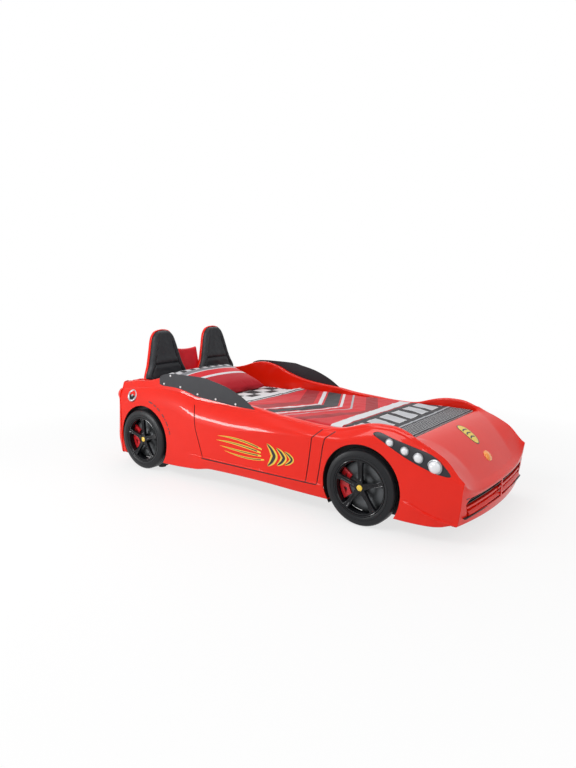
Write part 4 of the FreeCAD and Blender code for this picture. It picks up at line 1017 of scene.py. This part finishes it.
def make_wheel(end, x):
    """Right wheel of one axle and its twin on the left."""
    f, b, bead, tread = WHEEL_FACE_Y, WHEEL_BACK_Y, RIM_RADIUS, WHEEL_RADIUS
    centre = (x, 0, AXLE_Z)
    side_wall = [(bead, b + 4), (bead + 8, b), (tread - 22, b), (tread - 5, b + 5), (tread, b + 14),
                 (tread, b + 24), (tread - 3, b + 25), (tread - 3, b + 29), (tread, b + 30),
                 (tread, f - 30), (tread - 3, f - 29), (tread - 3, f - 25), (tread, f - 24),
                 (tread, f - 15), (tread - 6, f - 6), (tread - 20, f - 1.5), (tread - 32, f - 0.5),
                 (tread - 33, f - 2), (tread - 36, f - 2), (tread - 37, f - 0.3), (bead + 8, f),
                 (bead + 2, f - 3), (bead, f - 8)]
    lip = [(bead, b + 4), (bead, f - 6), (bead - 1, f - 3), (bead - 4, f - 2.2), (bead - 7, f - 3.5),
           (bead - 8.5, f - 8), (bead - 13, f - 12), (bead - 14, f - 20), (bead - 11, b + 6)]
    hub = [(11, b + 24), (11, f - 20), (16, f - 16), (17.5, f - 12), (24, f - 11.5), (28, f - 13),
           (32, f - 18), (34, b + 24)]
    nut = [(0, f - 9.5), (2.6, f - 9.5), (3.4, f - 10.5), (3.4, f - 18), (0, f - 18)]
    disc = [(0, f - 7.5), (5, f - 7.7), (10, f - 8.8), (14, f - 10.4), (15, f - 12), (17, f - 12.2),
            (17, f - 17), (0, f - 17)]
    tyre = paint(turned("tyre_ring_%s_right" % end, side_wall, centre, segments=128, sharp=35), TYRE)
    parts = [turned("lip", lip, centre, segments=128), turned("hub", hub, centre, segments=64)]
    parts += [spoke_mesh(x, 360.0 / SPOKES * k) for k in range(SPOKES)]
    parts += [turned("nut", nut, place, segments=12) for place in round_ring(centre, NUT_RING, SPOKES, 0.5)]
    rim = paint(join(parts, "rim_spokes_%s_right" % end), GLOSS_BLACK)
    cap = paint(turned("hub_disc_%s_right" % end, disc, centre, segments=48), YELLOW)
    for obj, node, slot in ((tyre, "tyre", "tyre_black"), (rim, "rim", "black_gloss"),
                            (cap, "hub_cap", "hub_yellow")):
        dress_pair(obj, "wheel_%s_" % end, slot, "%s_%s_" % (node, end))


# ---- seats --------------------------------------------------------------------------------
DECK_Z = 632.0
SEAT_X = -1064.0
SEAT_Y = 262.0
SEAT_FOOT = -6.0              # the seats reach this far into the deck
SEAT_LEAN = math.radians(6.0)
SEAT_TOP = 352.0
SEAT_BASE = 206.0             # half width at the foot
SEAT_CORNERS = [              # right half of the outline, (across, up)
    (SEAT_BASE - 10, 0), (162, 105), (131, 210), (111, 280), (90, 318), (56, 344), (0, SEAT_TOP)]
PAD_TOP = SEAT_TOP - 9.0
PAD_THICK = 33.0
PAD_SEAM = 102.0              # height of the seam across the pad
BOLSTER = 46.0                # width of the side bolsters
PAD_INSET = 9.0               # rim of the shell that shows round the pad
PANEL_TOP = 192.0
PANEL_HALF = (118, 98)        # half width of the centre panel at its foot and its top
PANEL_BACK = -38              # how far its back stands behind the seats' faces
RIM_SECTION = (               # inset from the outline, place before the seat's face
    (120, 0), (40, 0.5), (11, 1.5), (8.5, 6.5), (6, 8), (2.5, 7.2), (0, 4), (0, -8), (2, -14),
    (8, -18.5), (20, -20.5), (70, -22), (130, -22.5))


def leaned(obj, y):
    """Set a form that is drawn upright at the origin on the deck, leaning back."""
    place = Matrix.Translation(Vector((SEAT_X, y, DECK_Z)) * MM)
    foot = Matrix.Translation(Vector((0, 0, SEAT_FOOT)) * MM)
    obj.data.transform(place @ Matrix.Rotation(-SEAT_LEAN, 4, "Y") @ foot)
    return obj


def seat_outline():
    """Closed outline of a seat back as (across, up) points."""
    left = [(-w, h) for w, h in SEAT_CORNERS[-2::-1]]
    return curve_through(SEAT_CORNERS + left + [(-100, 0), (0, 0), (100, 0)], 6)


SEAT_CURVE = smooth([          # half width over the height
    (h, w) for w, h in curve_through(SEAT_CORNERS + [(-56, 344), (-206, 0), (0, 0)], 5)[:31]])


def bulge(distance, reach):
    """0 on an edge, rising roundly to 1 at this reach from it."""
    return math.sqrt(max(0.0, 1 - (1 - min(max(distance, 0) / reach, 1)) ** 2))


def sine_shares(pitch):
    """Shares from -1 to 1 that lie closer together towards both ends."""
    return [math.sin(math.radians(a)) for a in spaced(-90, 90, pitch)]


def dip(distance, width):
    return math.exp(-(distance / width) ** 2)


def pad_depth(share, height, half):
    """Thickness of the seat pad: crowned edges, bolsters, one seam across, slight creases."""
    edge = half * (1 - abs(share))
    crown = bulge(min(edge, (PAD_TOP - height) * 0.9), 24)
    fade = 1 - ease((height - 235) / 60)
    inner = ease((edge - BOLSTER + 2) / 8)
    depth = 2 + (PAD_THICK - 2) * crown
    depth += fade * (6 * dip(edge - 24, 13) - 8 * dip(edge - BOLSTER, 3.4)) * crown
    depth -= inner * 9 * dip(height - PAD_SEAM, 3.2)
    depth += inner * 3.5 * (dip(height - PAD_SEAM - 26, 20) + dip(height - PAD_SEAM + 26, 20))
    creases = noise.noise((share * 5.0, height * 0.045, 2.3))
    return depth + crown * (1.3 * creases + 1.6 * noise.noise((share * 2.1, height * 0.011, 8.1)))


def make_seat_pad():
    rows = []
    shares = sine_shares(3.2)
    for h in spaced(0, 300, 5) + spaced(300, PAD_TOP, 2)[1:]:
        half = max(1.0, SEAT_CURVE(h / PAD_TOP * SEAT_TOP) * (1 - PAD_INSET / SEAT_BASE))
        row = [(pad_depth(a, h, half), half * a, h) for a in shares]
        rows.append(row + [(0.3, half * 0.98, h), (0.3, -half * 0.98, h)])
    return closed_form("seat_cushion", rows, LEATHER)


def make_seat_rim():
    """Thin moulded shell behind the pad, its lip showing round it."""
    outline = seat_outline()
    rows = []
    for inset, depth in RIM_SECTION:
        rows.append([(depth, w * (1 - inset / SEAT_BASE), h * (1 - inset / SEAT_TOP)) for w, h in outline])
    return closed_form("seat_rim", rows, RED)


def make_centre_panel():
    rows = []
    for t in spaced(0, 1, 1 / 40):
        half = lerp(*PANEL_HALF, t)
        row = []
        for a in sine_shares(5):
            h = t * (PANEL_TOP + 9 * a * a)
            crown = bulge(min(half * (1 - abs(a)), (1 - t) * PANEL_TOP), 16)
            fold = 1.1 * noise.noise((a * 4.0, h * 0.02, 5.5))
            fold -= 2.2 * dip(half * (1 - abs(a)) - 20, 2.4)
            row.append((PANEL_BACK + 3 + (17 + fold) * crown, half * a, h))
        rows.append(row + [(PANEL_BACK, half * 0.98 * side, t * PANEL_TOP) for side in (1, -1)])
    return closed_form("centre_cushion", rows, PANEL)


def make_seats():
    for side, y in (("right", -SEAT_Y), ("left", SEAT_Y)):
        rim = leaned(make_seat_rim(), y)
        pad = leaned(make_seat_pad(), y)
        rim.name = "seat_rim_" + side
        pad.name = "seat_cushion_" + side
        dress(rim, "bed", "shell_red", "seat_shell_" + side)
        dress(pad, "bed", "seat_black", "seat_pad_" + side)
    panel = leaned(make_centre_panel(), 0)
    dress(panel, "bed", "panel_red", "centre_back_panel")


# ---- mattress, duvet, pillow --------------------------------------------------------------
BASE_Z = 395.3
MATTRESS_TOP = 503.3
MATTRESS_X = (-1000.0, 1000.0)
MATTRESS_HALF = 450.0
DUVET_X = (-360.0, 996.0)
DUVET_HALF = 446.0
DUVET_THICK = 12.0
PILLOW_SIZE = (425.0, 700.0, 142.0)
PILLOW_TILT = math.radians(19.0)
PILLOW_BACK = -994.0
PILLOW_SINK = 12.0            # its lowest part, this deep, is pressed flat on the mattress


def make_mattress():
    """Foam block with rounded edges and corners."""
    x0, x1 = MATTRESS_X
    corner, edge, radius = 40, 22, 20.0
    ends = [0, 1.5, 5, 11, 20, 30, corner]
    rows = []
    middle = spaced(x0 + corner, x1 - corner, 40)[1:-1]
    for x in [x0 + e for e in ends] + middle + [x1 - e for e in ends[::-1]]:
        e = min(x - x0, x1 - x)
        half = MATTRESS_HALF - corner * (1 - bulge(e, corner)) if e < corner else MATTRESS_HALF
        trim = edge * (1 - bulge(e, edge))
        low, high = BASE_Z + trim, MATTRESS_TOP - trim
        section = []
        for y, z, turn in ((half - radius, high - radius, 0), (radius - half, high - radius, 90),
                           (radius - half, low + radius, 180), (half - radius, low + radius, 270)):
            for k in range(6):
                a = math.radians(turn + 18 * k)
                section.append((y + radius * math.cos(a), z + radius * math.sin(a)))
        flat = spaced(half - radius, radius - half, 45)[1:-1]
        section = (section[:6] + [(y, high) for y in flat] + section[6:18] + [(-y, low) for y in flat]
                   + section[18:])
        rows.append([(x, y, z) for y, z in section])
    obj = closed_form("mattress_pad", rows, SHEET_CLOTH)
    dress(obj, "mattress", "mattress_fabric", "mattress")


def duvet_height(x, y):
    """Top of the duvet above the mattress: soft edges, a rolled hem at the head, long creases."""
    x0, x1 = DUVET_X
    edge = min(x - x0, x1 - x, DUVET_HALF - abs(y))
    soft = bulge(edge, 26)
    drift = noise.noise((x * 0.003, y * 0.003, 3.1))
    ridge = max(0.0, 1 - 2.6 * abs(noise.noise((x * 0.0045 + drift, y * 0.0022 + drift, 7.7))))
    cross = max(0.0, 1 - 3.2 * abs(noise.noise((x * 0.0030 - drift, y * 0.0060, 1.9))))
    height = DUVET_THICK + 4.0 * ridge ** 3 + 3.0 * cross ** 3
    height += 1.6 * noise.noise((x * 0.016, y * 0.012, 5.0))
    hem = 7 * dip(x - x0 - 20, 15) - 2.5 * dip(x - x0 - 44, 4)
    return 1.0 + (height + hem) * soft


def make_duvet():
    x0, x1 = DUVET_X
    rows = []
    across = [DUVET_HALF * math.copysign(1 - (1 - abs(t)) ** 1.25, t) for t in spaced(-1, 1, 1 / 44)]
    z = MATTRESS_TOP + 0.4
    ends = (0, 2, 6, 12)
    for x in [x0 + e for e in ends] + spaced(x0 + 20, x1 - 20, 9) + [x1 - e for e in ends[::-1]]:
        row = [(x, y, z + duvet_height(x, y)) for y in across]
        rows.append(row + [(x, y, z) for y in (DUVET_HALF, DUVET_HALF / 3, -DUVET_HALF / 3, -DUVET_HALF)])
    obj = closed_form("duvet_cover", rows, DUVET_CLOTH)
    dress(obj, "mattress", "duvet_fabric", "duvet")


def inflate(obj, voxel, cap, pressure=4.0, frames=20):
    """Swell a closed form as stuffed cloth; no point moves further than cap millimetres."""
    modify(obj, "REMESH", mode="VOXEL", voxel_size=voxel * MM)
    start = [v.co.copy() for v in obj.data.vertices]
    cloth = obj.modifiers.new("cloth", "CLOTH")
    cloth.settings.use_pressure = True
    cloth.settings.uniform_pressure_force = pressure
    cloth.settings.effector_weights.gravity = 0
    cloth.point_cache.frame_start = 1
    cloth.point_cache.frame_end = frames
    scene = bpy.context.scene
    for frame_number in range(1, frames + 1):
        scene.frame_set(frame_number)
    apply_modifiers(obj)
    scene.frame_set(1)
    for v, old in zip(obj.data.vertices, start):
        move = v.co - old
        if move.length > cap * MM:
            v.co = old + move.normalized() * cap * MM
    return finish_mesh(modify(obj, "SUBSURF", levels=1, render_levels=1), 60)


def pillow_form():
    """Closed pillow: thick in the middle, sides drawn in between its four corners."""
    depth, length, thick = PILLOW_SIZE
    us = sine_shares(5)
    rows = []
    for v in sine_shares(3):
        row = []
        for sign in (1, -1):
            for u in us if sign > 0 else us[-2:0:-1]:
                x = depth / 2 * u * (0.97 - 0.06 * (1 - v * v))
                y = length / 2 * v * (0.98 - 0.045 * (1 - u * u))
                swell = ((1 - u * u) * (1 - v * v)) ** 0.42
                crease = 2.0 * noise.noise((u * 4.2, v * 5.5, 4.0 * sign)) * (1 - swell)
                row.append((x, y, sign * (3 + (thick / 2 - 9) * swell + crease)))
        rows.append(row)
    return closed_form("pillow_case", rows, sharp=60)


def make_pillow():
    obj = pillow_form()
    inflate(obj, 7.0, 8.0)
    obj.data.transform(Matrix.Rotation(PILLOW_TILT, 4, "Y"))
    back = min(v.co.x for v in obj.data.vertices)
    low = min(v.co.z for v in obj.data.vertices)
    rest = (MATTRESS_TOP + 0.5) * MM
    shift = (PILLOW_BACK * MM - back, 0, (MATTRESS_TOP - PILLOW_SINK) * MM - low)
    obj.data.transform(Matrix.Translation(shift))
    for v in obj.data.vertices:
        v.co.z = max(v.co.z, rest)
    paint(finish_mesh(obj, 60), PILLOW_CLOTH)
    dress(obj, "pillow", "pillow_fabric", "pillow")


# ---- small trim -----------------------------------------------------------------------------
def ribbon(name, line, half_width, place, material, lift):
    """Flat mark along (a, b) points on a surface; place gives the point on it, lifted this much."""
    rows = []
    n = len(line)
    for i, (a, b) in enumerate(line):
        before, after = line[max(i - 1, 0)], line[min(i + 1, n - 1)]
        length = math.hypot(after[0] - before[0], after[1] - before[1])
        na, nb = -(after[1] - before[1]) / length, (after[0] - before[0]) / length
        w = max(0.25, half_width(i / (n - 1)))
        rows.append([place(a + na * w * k, b + nb * w * k, lift) for k in (-1, -0.4, 0.4, 1)])
    return paint(thicken(loft(name, rows), 0.35), material)


def on_side(x, z, lift):
    return (x, -(skin_y(x, z) + lift), z)


def swoosh(x0, z0, x1, z1, bow, steps=26):
    """Bowed line between two points, as (x, z)."""
    out = []
    for k in range(steps + 1):
        t = k / steps
        out.append((lerp(x0, x1, t), lerp(z0, z1, t) + bow * 4 * t * (1 - t)))
    return out


DOOR_STROKES = [              # start, end, bow, half width at its thickest
    ((-290, 352), (70, 318), 16, 7.5), ((-305, 322), (60, 296), 10, 8.5),
    ((-275, 290), (62, 276), -4, 7.5), ((-235, 262), (85, 256), -14, 6.5)]
DOOR_ARROWS = [(62, 25), (134, 21), (192, 15)]     # how far forward each chevron stands, half width
DOOR_MIDDLE = 292.0
ARCH_DASHES = [(52, 58), (61, 66), (69, 77), (15, 20), (22, 24.5), (27, 34), (36, 38), (40, 46)]
DASH_RADIUS = 286.0
BADGE = (1066.0, 1198.0)
BADGE_HALF = 44.0
BADGE_BARS = (1106.0, 1130.0, 1154.0)


def on_bonnet(x, y, lift):
    return (x, y, BONNET_Z(x) + lift)


def make_door_marks():
    """Generic speed marks on the doors and dashes behind the rear arches."""
    pieces = []

    def mark(line, half_width, material, lift):
        pieces.append(ribbon("mark", line, half_width, on_side, material, lift))

    for (x0, z0), (x1, z1), bow, half in DOOR_STROKES:
        line = swoosh(x0, z0, x1, z1, bow)
        mark(line, lambda t: half * (t ** 0.8) * (1.02 - t) ** 0.35 * 1.9, YELLOW, 0.6)
        mark(line[3:-2], lambda t: half * 0.45 * (t ** 0.8), BLACK_INK, 1.0)
    for place, half in DOOR_ARROWS:
        tip, arm = 90 + place, 84 - place * 0.22
        upper = [(tip - 42, arm), (tip - 8, arm * 0.55)]
        line = upper + [(tip + 14, 0)] + [(x, -z) for x, z in upper[::-1]]
        line = rounded([(x, DOOR_MIDDLE + z) for x, z in line], [0, 14, 10, 14, 0], [3, 3, 3, 3])
        for width, colour, lift in ((half, YELLOW, 0.8), (half * 0.45, BLACK_INK, 1.2)):
            mark(line, lambda t: width * (1 - (2 * t - 1) ** 2) ** 0.6, colour, lift)
    for a0, a1 in ARCH_DASHES:
        turns = [math.radians(a) for a in spaced(a0, a1, 1)]
        line = [(AXLE_R + DASH_RADIUS * math.cos(t), AXLE_Z + DASH_RADIUS * math.sin(t)) for t in turns]
        mark(line, lambda t: 4.0, BLACK_INK, 0.6)
    dress_pair(join(pieces, "door_marks_right"), "bed", "hub_yellow")


def make_badge():
    """Plain oval badge with three bars on the bonnet."""
    badge = []
    for grow, material, lift in ((0, BLACK_INK, 0.5), (-5, YELLOW, 1.0)):
        line = [(x, 0.0) for x in spaced(BADGE[0] - grow, BADGE[1] + grow, 4)]
        half = BADGE_HALF + grow
        badge.append(ribbon("badge", line, lambda t: half * (1 - abs(2 * t - 1) ** 3.0) ** 0.6,
                            on_bonnet, material, lift))
    for x in BADGE_BARS:
        line = [(x + 10 * abs(y) / BADGE_HALF, y) for y in spaced(-BADGE_HALF * 0.6, BADGE_HALF * 0.6, 3)]
        badge.append(ribbon("badge", line, lambda t: 4.0, on_bonnet, BLACK_INK, 1.5))
    dress(join(badge, "bonnet_badge"), "bed", "hub_yellow")


HOOD_LAMP_X = AXLE_F + 505
HOOD_LAMP_STRETCH = (1.4, 1.7, 1.2, 1)


def make_hood_lamp():
    x = HOOD_LAMP_X
    slope = (BONNET_Z(x + 20) - BONNET_Z(x - 20)) / 40
    dome = [(0, 9.5), (6, 9.0), (12, 7.2), (17, 4.0), (19, 1.5), (19, -4), (0, -4)]
    bezel = [(18.5, -3), (18.5, 2), (20, 3), (22, 2), (23, -0.5), (23, -3)]
    lamp = join([paint(turned("dome", profile, (0, 0, 0), "Z", 48), AMBER) for profile in (dome, bezel)],
                "hood_lamp_lens")
    turn = Matrix.Rotation(math.atan(-slope), 4, "Y") @ Matrix.Diagonal(HOOD_LAMP_STRETCH)
    lamp.data.transform(Matrix.Translation(Vector((x, 0, BONNET_Z(x))) * MM) @ turn)
    dress(lamp, "bed", "lamp_amber", "hood_lamp")


def make_brake_discs():
    """Smooth discs with a raised rubbing ring behind the spokes, and a black shield behind each."""
    back = WHEEL_BACK_Y + 14
    disc = [(10.2, back - 4), (26, back - 4), (26, back), (136, back), (138, back + 1), (138, back + 4),
            (136, back + 5), (84, back + 5), (80, back + 3), (56, back + 3), (50, back + 6),
            (26, back + 6), (10.2, back + 6)]
    shield = [(12, back - 12), (141, back - 12), (141, back - 7), (12, back - 7)]
    pieces = []
    for x in (AXLE_F, AXLE_R):
        for profile, segments, material in ((disc, 96, DISC), (shield, 72, LINER)):
            piece = paint(turned("disc", profile, (x, 0, AXLE_Z), segments=segments), material)
            pieces += [piece, mirrored(piece, "disc_twin")]
    dress(join(pieces, "brake_disc_set"), "bed", "disc_grey", "brake_discs")


WELL_RADIUS = 242.0
WELL_WALL = 3.0
WELL_IN, WELL_OUT = 463.0, 517.0
WELL_FOOT = 84.0
CANARD = [(1040, 190), (1070, 177), (1116, 158), (1155, 146), (1197, 134), (1240, 126), (1272, 122)]


def make_wells():
    """Black liners: a hood over each wheel, down to the sill, and a plate behind it."""
    pieces = []
    reach = math.degrees(math.acos((WELL_FOOT - AXLE_Z) / WELL_RADIUS))
    for x in (AXLE_F, AXLE_R):
        rows = []
        outline = []
        for a in spaced(-reach, reach, 3):
            across, up = math.sin(math.radians(a)), math.cos(math.radians(a))
            rows.append([(x + r * across, -y, AXLE_Z + r * up) for r, y in (
                (WELL_RADIUS, WELL_IN), (WELL_RADIUS, WELL_OUT), (WELL_RADIUS + WELL_WALL, WELL_OUT),
                (WELL_RADIUS + WELL_WALL, WELL_IN))])
            outline.append((x + WELL_RADIUS * across, AXLE_Z + WELL_RADIUS * up))
        hood = closed_form("hood", rows, LINER)
        plate = prism("plate", outline, -WELL_IN - WELL_WALL, -WELL_IN, LINER)
        pieces += [hood, plate, mirrored(hood, "hood_twin"), mirrored(plate, "plate_twin")]
    dress(join(pieces, "well_liners"), "bed", "liner_black", "wheel_wells")


def make_canards():
    """Moulded ridge that runs from the front arch down to the nose corner."""
    rows = []
    for i, (x, z) in enumerate(CANARD):
        share = i / (len(CANARD) - 1)
        out = 9 * math.sin(math.pi * min(1, share * 0.8 + 0.15))
        rows.append([(x + corner_shift(x, z), -(skin_y(x, z + dz) + d), z + dz)
                     for d, dz in ((-3, 7), (0.4, 6), (out, -1), (out - 1, -3), (-1, -9), (-3, -9))])
    dress_pair(closed_form("canard_right", rows, RED), "bed", "shell_red")


def paint_nodes():
    """CAD nodes that stay as they are get their finish."""
    for finish, names in (
            (RED, "rear_deck"), (CALIPER, "brake_calipers"), (ZINC, "axles frame_bolts"),
            (PINE, "slats ledger_left ledger_right center_beam center_legs"),
            (LINER, "corner_feet floor_glides"),
            (BOARD, "side_rail_left side_rail_right head_board foot_board")):
        for name in names.split():
            finish_mesh(paint(NODES[name], finish), 30)


make_sides()
make_front()
make_grille()
make_tail()
make_headlight()
make_fuel_cap()
make_guard()
make_wheel("front", AXLE_F)
make_wheel("rear", AXLE_R)
make_brake_discs()
make_seats()
make_mattress()
make_duvet()
make_pillow()
make_door_marks()
make_badge()
make_hood_lamp()
make_wells()
make_canards()
paint_nodes()

# ---- camera, light, floor --------------------------------------------------------------
CAMERA_PLACE = (2.3315, -3.2855, 1.2871)
CAMERA_AZIMUTH = math.radians(36.896)
CAMERA_ELEVATION = math.radians(9.1066)
CAMERA_LENS = 28.60
CAMERA_SENSOR = 36.0
CAMERA_CLIP = (0.05, 60.0)
WORLD_LIGHT = 0.32
LIGHTS = {                    # place, target, size, watts
    "key": ((-0.6, -3.4, 3.4), (0.2, -0.2, 0.3), (3.2, 1.4), 88),
    "fill": ((4.2, -1.2, 2.6), (0.6, 0, 0.3), (2.4, 2.4), 34),
    "top": ((0.0, 0.6, 3.8), (0, 0, 0.3), (4.0, 2.2), 50),
    "back": ((-3.6, 2.6, 2.4), (0, 0, 0.4), (2.4, 1.6), 26),
    "streak": ((-2.5, -3.1, 0.66), (-0.2, -0.5, 0.45), (1.0, 0.30), 26)}
FLOOR_SIZE = 14000.0
FLOOR_Z = -0.5
FLOOR_GLOW = (0.72, 1.0)      # how far the floor that is seen is lifted to white, near and far
FLOOR_FADE = (1.2, 3.2)       # metres from the middle over which it rises from one to the other


def add_looking(name, data, place, sight):
    """Camera or lamp at this place, looking along sight."""
    obj = add_object(name, data)
    obj.location = place
    obj.rotation_mode = "QUATERNION"
    obj.rotation_quaternion = sight.to_track_quat("-Z", "Y")
    return obj


def make_camera():
    data = bpy.data.cameras.new("camera")
    data.lens = CAMERA_LENS
    data.sensor_width = CAMERA_SENSOR
    data.clip_start, data.clip_end = CAMERA_CLIP
    a, e = CAMERA_AZIMUTH, CAMERA_ELEVATION
    back = Vector((math.sin(a) * math.cos(e), -math.cos(a) * math.cos(e), math.sin(e)))
    bpy.context.scene.camera = add_looking("camera", data, CAMERA_PLACE, -back)


def make_lights():
    for name, (place, target, size, watts) in LIGHTS.items():
        data = bpy.data.lights.new(name, "AREA")
        data.shape = "RECTANGLE"
        data.size, data.size_y = size
        data.energy = watts
        add_looking(name, data, place, Vector(target) - Vector(place))


def seen_directly(tree):
    """1 for rays from the camera and for those that gloss or glass send on."""
    path = add_node(tree, "LightPath")
    total = path.outputs["Is Camera Ray"]
    for name in ("Is Glossy Ray", "Is Transmission Ray"):
        pair = [(0, total), (1, path.outputs[name])]
        total = add_node(tree, "Math", pair, operation="MAXIMUM").outputs[0]
    return total


def make_world():
    world = bpy.data.worlds.new("studio")
    world.use_nodes = True
    bpy.context.scene.world = world
    tree = world.node_tree
    background = tree.nodes["Background"]
    background.inputs["Color"].default_value = (1, 1, 1, 1)
    amount = add_node(tree, "MapRange", [("Value", seen_directly(tree)), ("To Min", WORLD_LIGHT),
                                         ("To Max", 1.0)])
    tree.links.new(amount.outputs[0], background.inputs["Strength"])


def make_floor():
    across = spaced(-FLOOR_SIZE, FLOOR_SIZE, FLOOR_SIZE / 4)
    floor = loft("floor", [[(x, y, FLOOR_Z) for x in across] for y in across])
    s = Shader("pale_floor", (0.9, 0.9, 0.9), 0.8)
    glow = s.node("Emission", [("Color", (1, 1, 1, 1))])
    away = s.node("VectorMath", [(0, s.place)], operation="LENGTH").outputs["Value"]
    spans = zip(("From Min", "From Max", "To Min", "To Max"), FLOOR_FADE + FLOOR_GLOW)
    lift = s.node("MapRange", [("Value", away), *spans]).outputs[0]
    share = s.value("MULTIPLY", seen_directly(s.tree), lift)
    blend = s.node("MixShader", [(0, share), (1, s.bsdf.outputs[0]), (2, glow.outputs[0])])
    s.link(blend.outputs[0], s.tree.nodes["Material Output"].inputs["Surface"])
    paint(floor, s.material)


make_camera()
make_world()
make_floor()
make_lights()
